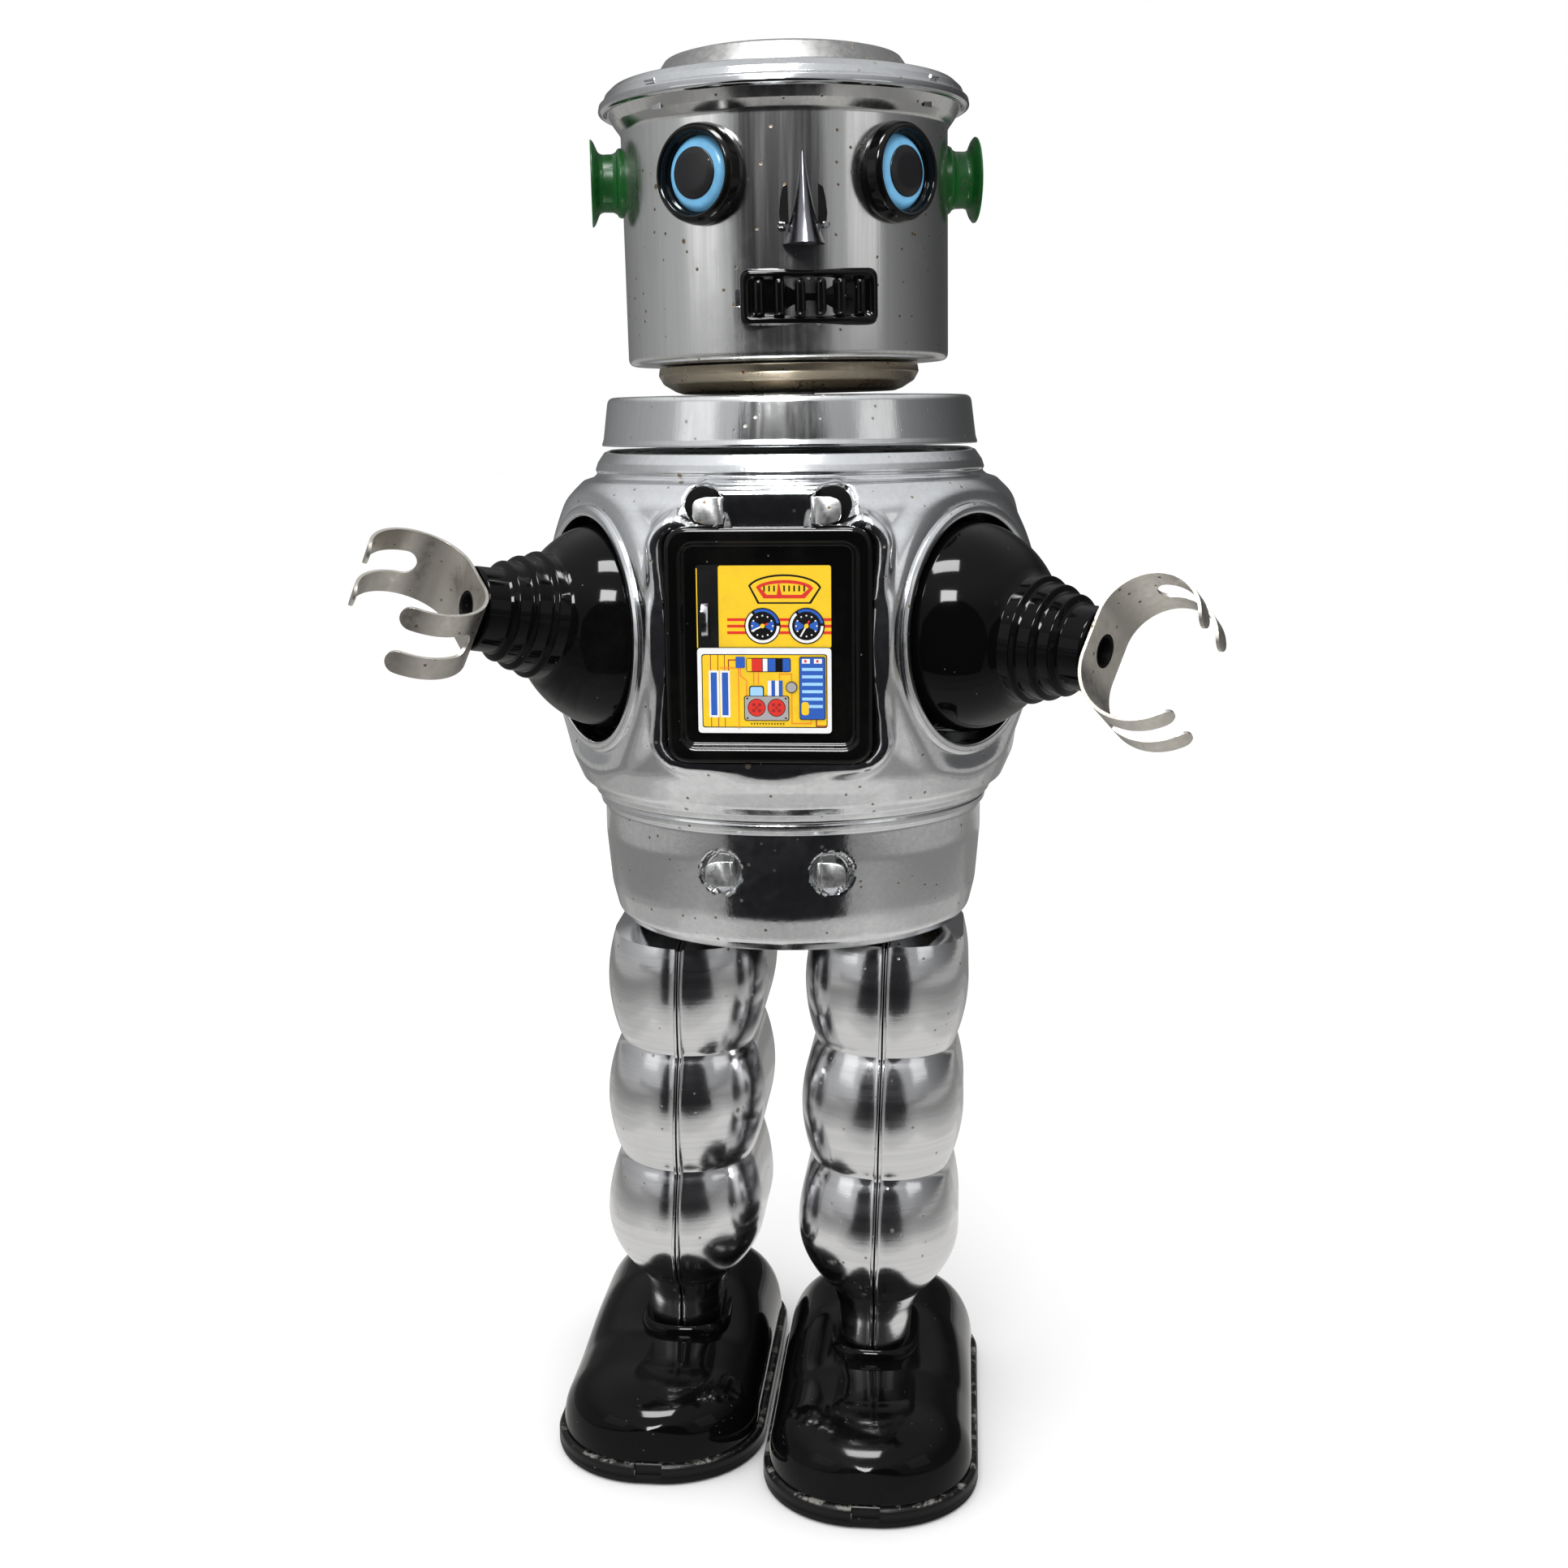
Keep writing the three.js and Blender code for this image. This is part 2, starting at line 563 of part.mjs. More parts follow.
function buildMotorFrame() {
  const { halfX, plateY, plateT, bottomZ, topZ } = MOTOR;
  const height = topZ - bottomZ;
  const middle = (topZ + bottomZ) / 2;
  const bearings = [
    [0, ARBOR_Z, ARBOR.r], [SECOND.x, SECOND.z, PIN_R], [SECOND.x, GOVERNOR_Z, PIN_R], [0, CRANK_Z, PIN_R],
  ];
  for (const [name, sign] of [["motor_plate_front", -1], ["motor_plate_back", 1]]) {
    const blank = toSolid(box(2 * halfX + 2, plateT, height, 0, sign * plateY, middle));
    const holes = bearings.map(([x, z, r]) => toSolid(rod("y", r + GAP, 4, x, sign * plateY, z)));
    add(robot, name, cut(blank, ...holes), steel);
  }
  bothSides((side, sign) => {
    const x = sign * (halfX + plateT / 2);
    const webHeight = height / 2;
    const web = toSolid(box(plateT, 2 * (plateY - plateT / 2 - GAP), webHeight, x, 0, bottomZ + webHeight / 2));
    const holes = [
      toSolid(box(4, 6, 14, x, -plateY, SECOND.z - 2.5)), // room for the second gear's rim
      toSolid(rod("x", ROD_R + GAP, 4, x, 0, HIP_Z)),
      toSolid(rod("x", ROD_R + GAP, 4, x, CRANK_Y, CRANK_Z)),
    ];
    add(robot, `motor_side_${side}`, cut(web, ...holes), steel);
  });
}

function buildSpring() {
  const { turns, startR, growth, tin: thickness, width, backY } = SPRING;
  const steps = turns * 11;
  const coil = Array.from({ length: steps + 1 }, (_, i) => {
    const angle = (i / steps) * turns * 2 * Math.PI;
    const r = startR + (growth * i) / steps;
    return new THREE.Vector2(r * Math.cos(angle), r * Math.sin(angle));
  });
  const strip = slab(ribbon(coil, thickness), width);
  add(robot, "mainspring", standing(strip, 0, backY, ARBOR_Z), steel);
}

// The winding arbor runs from the front plate out through the back shell to the key.
function buildWinding() {
  const { r, collarR, collarT, frontY, backY } = ARBOR;
  const plateFace = MOTOR.plateY + MOTOR.plateT / 2;
  const arbor = join(
    toSolid(rod("y", r, backY - frontY, 0, (backY + frontY) / 2, ARBOR_Z)),
    toSolid(rod("y", collarR, collarT, 0, plateFace + GAP + collarT / 2, ARBOR_Z)),
    gear(TEETH.great, 1.4, 0, GEAR_Y.great, ARBOR_Z),
  );
  add(robot, "winding_arbor", arbor, brass);

  // The key: a sleeve on the arbor's end with two looped wings.
  let key = toSolid(rod("y", KEY.sleeveR, KEY.backY - KEY.frontY, 0, (KEY.backY + KEY.frontY) / 2, ARBOR_Z));
  const wing = new THREE.Shape();
  wing.absellipse(0, 0, 5.4, 4.6, 0, 2 * Math.PI);
  const eye = new THREE.Path();
  eye.absellipse(0.6, 0, 2.9, 2.4, 0, 2 * Math.PI, true);
  wing.holes.push(eye);
  for (const sign of [1, -1]) {
    const loop = slab(wing, KEY.t, 6).rotateX(Math.PI);
    if (sign < 0) {
      loop.rotateY(Math.PI).translate(0, 0, -KEY.t);
    }
    key = key.add(toSolid(loop.translate(sign * KEY.wingX, KEY.wingY, ARBOR_Z + KEY.t / 2)));
  }
  const boreStart = KEY.frontY - 1;
  const bore = rod("y", r + GAP, KEY.boreEndY - boreStart, 0, (KEY.boreEndY + boreStart) / 2, ARBOR_Z);
  add(robot, "winding_key", cut(key, toSolid(bore)), nickel);
}

function buildGearTrain() {
  const halfTooth = 180 / TEETH.pinion;
  const second = join(
    toSolid(rod("y", PIN_R, 2 * MOTOR.plateY + MOTOR.plateT - 0.2, SECOND.x, 0, SECOND.z)),
    gear(TEETH.pinion, 1.4, SECOND.x, GEAR_Y.great, SECOND.z),
    gear(TEETH.second, 1, SECOND.x, GEAR_Y.fast, SECOND.z),
  );
  add(robot, "second_gear", second, brass);

  const fan = join(
    toSolid(rod("y", PIN_R, 6.6, SECOND.x, -6.6, GOVERNOR_Z)),
    gear(TEETH.pinion, 1, SECOND.x, GEAR_Y.fast, GOVERNOR_Z, halfTooth),
    toSolid(box(8, 2, 0.6, SECOND.x, -4.6, GOVERNOR_Z)),
  );
  add(robot, "governor_fan", fan, brass);

  const crownR = (TEETH.crown * MODULE) / 2;
  let crown = join(
    toSolid(rod("y", PIN_R, 4.4, 0, -7.7, CRANK_Z)),
    gear(TEETH.pinion, 1, 0, GEAR_Y.fast, CRANK_Z),
    toSolid(rod("y", crownR + 0.75, 0.8, 0, -5.9, CRANK_Z, 16)),
  );
  for (let i = 0; i < TEETH.crown; i += 1) {
    const tooth = box(1.4, 1.1, 0.7, crownR, -5.1, 0).rotateY((-i * 2 * Math.PI) / TEETH.crown);
    crown = crown.add(toSolid(tooth.translate(0, 0, CRANK_Z)));
  }
  add(robot, "crown_gear", crown, brass);
}

function buildCrankshaft() {
  const web = MOTOR.halfX + MOTOR.plateT;
  const shaft = toSolid(rod("x", ROD_R, 2 * (web + 1.2), 0, CRANK_Y, CRANK_Z));
  const pinionBlank = slab(gearShape(TEETH.pinion, 0, 0.45), 1.6, 3).rotateZ(rad(180 / TEETH.pinion));
  const pinion = toSolid(pinionBlank.rotateY(Math.PI / 2).translate(5.6, CRANK_Y, CRANK_Z));
  let crank = join(shaft, pinion);
  for (const sign of [1, -1]) {
    const pinY = CRANK_Y - sign * CRANK_THROW;
    crank = join(
      crank,
      toSolid(rod("x", 2.9, 0.9, sign * (web + 0.9), CRANK_Y, CRANK_Z, 20)),
      toSolid(rod("x", PIN_R, 3.6, sign * (web + 3), pinY, CRANK_Z)),
    );
  }
  add(robot, "crankshaft", crank, steel);
  add(robot, "hip_rod", rod("x", ROD_R, 41, 0, 0, HIP_Z), steel);
}

// ---------- arms ----------

// Where an arm pivots, as its place in plan and its turn.
function armPivot(side, sign) {
  const { reach, yaw } = ARM_SET[side];
  const place = outwards(sign, ARM.angle);
  return { x: reach * Math.cos(place), y: reach * Math.sin(place), turn: outwards(sign, yaw) };
}

function buildArmYoke() {
  const plateY = -(MOTOR.plateY + MOTOR.plateT / 2 + GAP + 0.4);
  const parts = [toSolid(box(28, 0.8, 9, 0, plateY, DOME.z))];
  bothSides((side, sign) => {
    const { x, y, turn } = armPivot(side, sign);
    const length = ARM_SET[side].reach - 18.4;
    const strap = cut(
      join(toSolid(box(length, 5, 0.9, -length / 2, 0, 0)), toSolid(rod("y", 2.1, 8))),
      toSolid(rod("y", ARM_PIN_R + GAP, 12)),
    );
    parts.push(toSolid(toGeometry(strap).rotateZ(turn).translate(x, y, DOME.z)));
  });
  const corner = [1, -1].map((sign) => toSolid(box(8, 4.2, 0.9, sign * 15.6, plateY - 2, DOME.z)));
  add(robot, "arm_yoke", join(...parts, ...corner), steel);
}

// Outer outline of the arm from its open base to the wrist, as [radius, distance from pivot].
function armOutline() {
  const dome = arcPoints(0, 0, DOME.r, -10, 52, 5).map((p) => [p.x, p.y]);
  const rings = [
    [9.9, 14], [9.8, 16.2], [8.8, 16.7], [8.7, 19.2], [7.7, 19.7], [7.6, 22], [6.6, 22.5],
    [6.4, CLAW.palmX - GAP],
  ];
  return [...dome, ...rings];
}

function buildArm(side, sign) {
  const { x, y, turn } = armPivot(side, sign);
  const arm = group(robot, x, y, DOME.z);
  arm.rotation.set(0, -rad(ARM_SET[side].lift), turn, "ZYX");

  const end = CLAW.palmX - GAP;
  const outer = lathe([[0, armOutline()[0][1]], ...armOutline(), [0, end]], 18);
  const inside = arcPoints(0, 0, DOME.r - DOME.wall - 0.3, -12, 55, 3).map((p) => [p.x, p.y]);
  const [insideR, insideStart] = inside[0];
  const hollow = [[0, insideStart - 1], [insideR, insideStart - 1], ...inside, [5.4, 20], [0, 20]];
  const inner = lathe(hollow, FINE);
  const shoulder = cut(
    toSolid(outer),
    toSolid(inner),
    toSolid(rod("y", ARM_PIN_R + GAP, 40)),
    toSolid(rod("z", CLAW_EYELET.tubeR + GAP, 20, 0, 0, end)),
  );
  add(arm, `shoulder_${side}`, toGeometry(shoulder).rotateY(Math.PI / 2), blackPlastic);
  add(arm, `arm_pin_${side}`, rod("y", ARM_PIN_R, 2 * DOME.r - 1.2), steel);

  const hand = group(arm, CLAW.palmX, 0, 0);
  hand.rotation.x = rad(ARM_SET[side].roll);
  add(hand, `claw_${side}`, clawSolid(ARM_SET[side].curl), nickel);
  const { boreR, tubeR, headR, headT, depth } = CLAW_EYELET;
  const headX = CLAW.tin + GAP;
  const eyelet = lathe([
    [boreR, -depth], [tubeR, -depth], [tubeR, headX], [headR, headX], [headR, headX + headT],
    [boreR, headX + headT], [boreR, -depth],
  ], FINE).rotateY(Math.PI / 2);
  add(hand, `claw_eyelet_${side}`, eyelet, nickel);
}

// A spring-steel strip bent to a C that opens along +X, forked into two prongs at each end.
function clawSolid(curl) {
  const { width, tin: thickness, prong, holeR, upper, lower } = CLAW;
  const bend = [
    ...arcPoints(upper.x, upper.z, upper.r, upper.end, 180, 9),
    ...arcPoints(lower.x, lower.z, lower.r, 180, curl, 7),
  ];
  const strip = slab(ribbon(bend, thickness), width);
  strip.translate(0, 0, -width / 2).rotateX(Math.PI / 2);
  const gapWidth = width - 2 * prong;
  const forkCut = (startX, fromZ, toZ) => join(
    toSolid(box(TOOL, gapWidth, toZ - fromZ, startX + TOOL / 2, 0, (fromZ + toZ) / 2)),
    toSolid(rod("z", gapWidth / 2, toZ - fromZ, startX, 0, (fromZ + toZ) / 2, 10)),
  );
  return cut(
    toSolid(strip),
    forkCut(upper.slotX, 2, TOOL),
    forkCut(lower.slotX, -TOOL, -2),
    toSolid(rod("x", holeR, 6)),
  );
}

// ---------- legs and shoes ----------

// Outline of a leg's lobes as [radius, z], from the ankle to the rounded top.
function legOutline(grow) {
  const { ankleZ, pinchZ, topZ, lobeR, pinchR } = LEG;
  const levels = [ankleZ, ...pinchZ, topZ];
  const lobes = levels.slice(1).flatMap((top, i) => {
    const bottom = levels[i];
    return [0, 0.2, 0.5, 0.8].map((t) => {
      const swell = Math.sqrt(Math.sin(t * Math.PI));
      return [pinchR + (lobeR - pinchR) * swell + grow, bottom + t * (top - bottom)];
    });
  });
  lobes[0] = [7.6 + grow, ankleZ];
  const foot = [[6.4 + grow, 12], [6.4 + grow, ankleZ - 1.5]];
  const neck = [[9.2 + grow, topZ - 1.9], [6, topZ - 0.7], [5.6, topZ + 2]];
  return [...foot, ...lobes, ...neck];
}

// A revolved outline pulled apart along Y, so that its section is a stadium.
function stadium(outline, facets, spread) {
  const geometry = lathe(outline, facets, Math.PI / facets);
  const points = geometry.attributes.position;
  for (let i = 0; i < points.count; i += 1) {
    const y = points.getY(i);
    if (Math.abs(y) > 1e-6) {
      points.setY(i, y + Math.sign(y) * spread);
    }
  }
  return toSolid(geometry);
}

function closedOutline(points) {
  return [[0, points[0][1]], ...points, [0, points[points.length - 1][1]]];
}

function buildLeg(side, sign) {
  const leg = group(robot, sign * LEG.x, 0, HIP_Z);
  leg.rotation.order = "YXZ";
  leg.rotation.y = -rad(LEG.lean);
  leg.rotation.x = -sign * rad(LEG.stride);
  const column = group(leg, 0, COLUMN_Y, -HIP_Z);

  const outer = stadium(closedOutline(legOutline(0)), 16, LEG.spread);
  const hollow = [[5.4, 8], [5.4, 26], [9.9, 32], [9.9, 84], [4.6, 91], [4.6, 98]];
  const inner = stadium(closedOutline(hollow), 10, LEG.spread);
  const seam = box(LEG.flangeT, TOOL, LEG.topZ + 1.5 - LEG.ankleZ, 0, 0, (LEG.topZ + 1.5 + LEG.ankleZ) / 2);
  const flange = stadium(closedOutline(legOutline(LEG.flange)), 16, LEG.spread).intersect(toSolid(seam));
  const shell = cut(join(outer, flange), inner);
  for (const [part, half] of [["inner", -sign], ["outer", sign]]) {
    const keep = toSolid(box(TOOL, TOOL, TOOL, half * (TOOL / 2 + SEAM_GAP), 0, TOOL / 2));
    add(column, `leg_${side}_${part}`, shell.intersect(keep), chrome);
  }

  // The hanger: a steel strap from the leg's top over the hip rod to the crank pin's window.
  const strapX = -sign * HANGER.x;
  const strapY = CRANK_Y - COLUMN_Y;
  const strap = cut(
    toSolid(box(HANGER.t, HANGER.width, HANGER.height, strapX, strapY, HIP_Z + 0.5)),
    toSolid(rod("x", ROD_R + GAP, 4, strapX, -COLUMN_Y, HIP_Z)),
    toSolid(box(4, HANGER.windowWidth, HANGER.windowHeight, strapX, strapY, CRANK_Z)),
  );
  add(column, `leg_hanger_${side}`, strap, steel);
}

function shoeOutline(grow) {
  const { width, length } = SHOE;
  const [w, l] = [width / 2 + grow, length / 2 + grow];
  const [toeR, heelR] = [SHOE.toeR + grow, SHOE.heelR + grow];
  const shape = new THREE.Shape();
  shape.absarc(w - heelR, l - heelR, heelR, 0, Math.PI / 2);
  shape.absarc(-w + heelR, l - heelR, heelR, Math.PI / 2, Math.PI);
  shape.absarc(-w + toeR, -l + toeR, toeR, Math.PI, 1.5 * Math.PI);
  shape.absarc(w - toeR, -l + toeR, toeR, 1.5 * Math.PI, 2 * Math.PI);
  shape.closePath();
  return shape;
}

// Height of a shoe's crown above the ground at a place along its length.
function crownHeight(y) {
  const { length, toeH, heelH } = SHOE;
  const along = THREE.MathUtils.clamp(y / length + 0.5, 0, 1);
  const toe = toeH * Math.sqrt(Math.max(0, 1 - ((0.3 - Math.min(along, 0.3)) / 0.34) ** 2));
  const heel = Math.sqrt(Math.max(0, 1 - ((Math.max(along, 0.68) - 0.68) / 0.36) ** 2));
  return (toe + (heelH - toeH) * THREE.MathUtils.smoothstep(along, 0.3, 0.66)) * heel;
}

// The sole's outline drawn up in rings that close in towards a rounded crown.
function shoeDome(inset, lower) {
  const rings = new THREE.ExtrudeGeometry(shoeOutline(-inset), {
    depth: 1, steps: 4, bevelEnabled: false, curveSegments: 3,
  });
  const points = rings.attributes.position;
  for (let i = 0; i < points.count; i += 1) {
    const [x, y, t] = [points.getX(i), points.getY(i), points.getZ(i)];
    const bend = (t * Math.PI) / 2;
    const pull = 1 - 0.5 * (1 - Math.cos(bend));
    const placeY = y * (1 - 0.3 * (1 - Math.cos(bend)));
    const rise = SHOE.soleH + (crownHeight(placeY) - lower - SHOE.soleH) * Math.sin(bend);
    points.setXYZ(i, x * pull, placeY, rise);
  }
  return toSolid(rings);
}

function buildShoe(side, sign) {
  const [x, y] = SHOE_PLACE[side];
  const shoe = group(robot, x, y, 0);
  const { soleH, length } = SHOE;

  const tray = cut(
    toSolid(slab(shoeOutline(0), soleH - GAP)),
    toSolid(slab(shoeOutline(-SOLE_WALL), soleH).translate(0, 0, 1)),
  );
  const rollerYs = [-length / 4, length / 4];
  const { lugX, windowX, windowY, axleR } = ROLLER;
  const windows = rollerYs.map((rollerY) => toSolid(box(windowX, windowY, 6, 0, rollerY, 0)));
  const notch = toSolid(box(NOTCH_WIDTH, 6, 3, 0, -length / 2, soleH));
  const bearings = rollerYs.flatMap((rollerY) => [-lugX, lugX].map((lug) => cut(
    toSolid(box(SOLE_WALL, 4.4, 5, lug, rollerY, 3)),
    toSolid(rod("x", axleR + GAP, 4, lug, rollerY, ROLLER.z)),
  )));
  add(shoe, `sole_${side}`, join(cut(tray, ...windows, notch), ...bearings), blackPlastic);

  const sink = (LEG_ANKLE_Z - HIP_Z);
  const ankleX = sign * LEG.x + sink * Math.sin(-rad(LEG.lean)) - x;
  const ankleY = COLUMN_Y + sink * Math.sin(sign * rad(LEG.stride)) - y;
  const ankle = stadium([[0, 2], [ANKLE_HOLE_R, 2], [ANKLE_HOLE_R, 40], [0, 40]], 20, LEG.spread);
  const body = cut(
    shoeDome(1, 0),
    shoeDome(2.4, 1.4),
    toSolid(slab(shoeOutline(-2.4), 3).translate(0, 0, soleH - 1)),
    ankle.translate([ankleX, ankleY, 0]),
  );
  add(shoe, `shoe_${side}`, body, blackPlastic);

  ["front", "rear"].forEach((place, i) => {
    const roller = join(
      toSolid(rod("x", ROLLER.r, ROLLER.width, 0, rollerYs[i], ROLLER.z)),
      toSolid(rod("x", axleR, ROLLER.axleLength, 0, rollerYs[i], ROLLER.z, 10)),
    );
    add(shoe, `${place}_roller_${side}`, roller, steel);
  });
}

// ---------- the whole robot ----------

buildBodyShells();
buildCollar();
buildHead();
buildChest();
buildBracket("upper_bracket", LUGS.upper);
buildBracket("lower_bracket", LUGS.lower);
buildMotorFrame();
buildSpring();
buildWinding();
buildGearTrain();
buildCrankshaft();
buildArmYoke();
bothSides(buildArm);
bothSides(buildLeg);
bothSides(buildShoe);

const bounds = new THREE.Box3().setFromObject(robot);
const middle = bounds.getCenter(new THREE.Vector3());
robot.position.set(-middle.x, -middle.y, -bounds.min.z);
robot.updateMatrixWorld(true);

export default robot;
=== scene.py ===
"""Wind-up tin toy robot: the visible pieces, their materials, the stage and the camera.

Shapes are worked out in millimetres round the upright axis of the robot's round body, with the
robot facing -Y and +X on its own left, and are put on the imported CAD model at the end.
"""

import json
import math

import bmesh
import bpy
from mathutils import Matrix, Vector


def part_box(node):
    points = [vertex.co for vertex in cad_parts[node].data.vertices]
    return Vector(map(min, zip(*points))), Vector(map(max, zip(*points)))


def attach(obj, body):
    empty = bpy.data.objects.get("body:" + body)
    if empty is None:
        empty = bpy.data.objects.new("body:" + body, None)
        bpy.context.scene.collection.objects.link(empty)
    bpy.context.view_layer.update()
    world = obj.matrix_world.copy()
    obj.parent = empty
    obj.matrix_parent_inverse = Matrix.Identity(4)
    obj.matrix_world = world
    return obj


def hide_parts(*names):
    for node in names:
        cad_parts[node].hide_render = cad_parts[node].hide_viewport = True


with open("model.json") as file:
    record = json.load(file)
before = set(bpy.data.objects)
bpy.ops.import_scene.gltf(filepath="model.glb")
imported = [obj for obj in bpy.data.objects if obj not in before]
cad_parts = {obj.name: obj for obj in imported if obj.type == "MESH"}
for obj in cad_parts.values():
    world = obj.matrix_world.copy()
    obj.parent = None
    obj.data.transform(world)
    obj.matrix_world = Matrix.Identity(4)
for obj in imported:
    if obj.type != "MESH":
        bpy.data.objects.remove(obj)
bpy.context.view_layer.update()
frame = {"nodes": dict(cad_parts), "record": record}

# ---------- driving dimensions (mm and degrees) ----------

MM = 0.001
WELD = 2e-7     # metres: points closer than this are one point

BODY_TOP_Z = 169.6
SEAM_GAP = 0.15
SHELL_TIN = 0.6
SHELL_R = 38        # about the shell's radius at the arms
COLLAR_TOP_Z = 178
NECK_HOLE_R = 18
POST_R = 5          # the hole for the neck's eyelet in the collar, the neck dish and the head's floor

HEAD = {"bottom_z": 183.2, "top_z": 219.4, "r": 26.3, "yaw": 11.0, "tilt": -0.6}
EYE = {"angle": 33.2, "turn": 8.0, "z": 210.6}
EAR_Z = 212.0
NOSE = {"bottom_z": 199.9, "top_z": 214.0, "half_width": 3.1, "stand": 5.2}
MOUTH = {"x": 0.8, "z": 192.3, "width": 20.8, "height": 8.4, "ribs": 6}

SIDES = {"left": 1, "right": -1}
ARM_ANGLE = 57.0
ARM_HOLE = {
    "z": 141.5, "plane": 36.7, "inner_r": 18.0, "outer_r": 19.8, "cut_r": 18.7, "flat": 36.2, "flat_r": 19.2,
    "fade_r": 25.0,
}
ARM = {
    "left": {"reach": 32.9, "yaw": 57.0, "lift": -5.0, "roll": -32.0, "curl": 318},
    "right": {"reach": 31.4, "yaw": 50.8, "lift": 9.5, "roll": 60.0, "curl": 308},
}
ARM_PIVOT_Z = 142.0
DOME_R = 17.0
DOME_WALL = 1.3
PALM_REACH = 26.8
CLAW = {
    "width": 11.4, "tin": 0.5, "prong": 3.7, "hole_r": 2.6, "upper_fork": 12.6, "lower_fork": 11.0,
    "bevel": 0.09,
}

FRAME = {
    "width": 31.2, "height": 35.6, "z": 141.0, "front": 38.6, "back": 36.3, "corner": 3.6, "shell_lip": 37.9,
    "recess": 34.8,
}
STICKER = {"x": -0.7, "z": 140.4, "width": 20.2, "height": 25.2, "lower_h": 12.9}
SLOT = {"x": -9.3, "z": 147.0, "width": 2.6, "height": 11.6}
LUG_X = 7.2
LUG_TILT = 2.0
LUG_THICKNESS = 0.55
POCKET = {"x": 9.6, "z": 161.8, "lower_x": 8.8, "r": 3.3, "depth": 1.7, "undercut": 0.9}
BROW = {"half_width": 9.0, "bottom_z": 158.0, "top_z": 163.0, "front": 37.9}
LUGS = {"upper": {"z": 161.1, "y": 38.9}, "lower": {"z": 104.4, "y": 32.4}}
BELT_DIP = {"bottom": (113.8, 116.2), "top": (117.8, 120.6), "side": (13, 19), "depth": 0.5}

HIP_Z = 104.0
LEG = {
    "x": 17.2, "y": 2.0, "lobe_r": 13.9, "pinch_r": 11.5, "ankle_r": 7.8, "spread": 7.2, "lean": -1.9,
    "stride": 2.2, "ankle_z": 25.0, "pinch_z": (48.0, 69.2), "top_z": 91.5, "tin": 0.6, "flange": 0.95,
}
SHOE = {
    "width": 36.0, "length": 70.0, "sole_h": 3.6, "toe_r": 16.5, "heel_r": 13.0, "toe_h": 14.6,
    "heel_h": 18.4, "wall_h": 2.6, "notch": 4.6, "notch_depth": 1.1, "tread_h": 1.25,
}
SHOE_PLACE = {"left": (14.5, -9.0), "right": (-22.3, 1.0)}
UPPER_INSET = 1.0       # how far the upper stands in from the sole's edge
SOLE_RUB = {"bottom": (3.0, 3.2), "top": (3.34, 3.5)}

CAMERA = {
    "azimuth": 5.5, "distance": 320.0, "eye_z": 174.5, "down": 10.93, "roll": 0.6, "side": -1.53,
    "lens": 43.53, "sensor": 36,
}


# ---------- placing ----------

low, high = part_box("collar")
AXIS = Vector(((low.x + high.x) / 2, (low.y + high.y) / 2, 0))
TO_WORLD = Matrix.Translation(AXIS) @ Matrix.Diagonal((MM, MM, MM, 1))


def turn(degrees, axis):
    return Matrix.Rotation(math.radians(degrees), 4, axis)


def move(x, y, z):
    return Matrix.Translation((x, y, z))


# Turns a shape whose own axis is +Z to point along -Y, or along +X.
TO_FRONT = turn(90, "X")
TO_SIDE = turn(90, "Y")
# Stands an outline drawn in (y, z) upright, with its thickness along X.
FROM_SIDE = turn(90, "Y") @ turn(90, "Z")

HEAD_TURN = turn(HEAD["tilt"], "Y") @ turn(HEAD["yaw"], "Z")
NECK = move(0, 0, COLLAR_TOP_Z) @ HEAD_TURN @ move(0, 0, -COLLAR_TOP_Z)


def arm_matrix(side):
    """The arm's own frame: its pivot is the origin and +X runs out to the claw."""
    arm = ARM[side]
    place = math.radians(SIDES[side] * ARM_ANGLE)
    pivot = move(arm["reach"] * math.sin(place), -arm["reach"] * math.cos(place), ARM_PIVOT_Z)
    plan = arm["yaw"] - 90 if side == "left" else 270 - arm["yaw"]
    return pivot @ turn(plan, "Z") @ turn(-arm["lift"], "Y")


def leg_matrix(side):
    sign = SIDES[side]
    leg = move(sign * LEG["x"], 0, HIP_Z) @ turn(-LEG["lean"], "Y") @ turn(-sign * LEG["stride"], "X")
    return leg @ move(0, LEG["y"], -HIP_Z)


# ---------- mesh helpers ----------

def linked(name, data):
    obj = bpy.data.objects.new(name, data)
    bpy.context.scene.collection.objects.link(obj)
    return obj


def plain_object(name, verts, faces, *materials):
    """A mesh object with its points just as given."""
    mesh = bpy.data.meshes.new(name)
    mesh.from_pydata([tuple(v) for v in verts], [], faces)
    for material in materials:
        mesh.materials.append(material)
    return linked(name, mesh)


def face_outwards(mesh, weld=0.0):
    """Turns a closed mesh's faces outwards, and first joins the points closer than the weld distance."""
    bm = bmesh.new()
    bm.from_mesh(mesh)
    if weld:
        bmesh.ops.remove_doubles(bm, verts=bm.verts, dist=weld)
    bmesh.ops.recalc_face_normals(bm, faces=bm.faces)
    bm.to_mesh(mesh)
    bm.free()


def mesh_object(name, verts, faces, material, matrix=None, sharp=32):
    """A piece from points in millimetres, shaded smooth except at edges sharper than an angle."""
    world = TO_WORLD @ (matrix or Matrix.Identity(4))
    obj = plain_object(name, [world @ Vector(v) for v in verts], faces, material)
    face_outwards(obj.data, WELD)
    obj.data.polygons.foreach_set("use_smooth", [True] * len(obj.data.polygons))
    obj.data.set_sharp_from_angle(angle=math.radians(sharp))
    return obj


def settle(obj, body, slot, *nodes):
    """The piece rides on a body and stands for CAD nodes. The material slot's name that it takes is not used.
    """
    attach(obj, body)
    if nodes:
        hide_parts(*nodes)


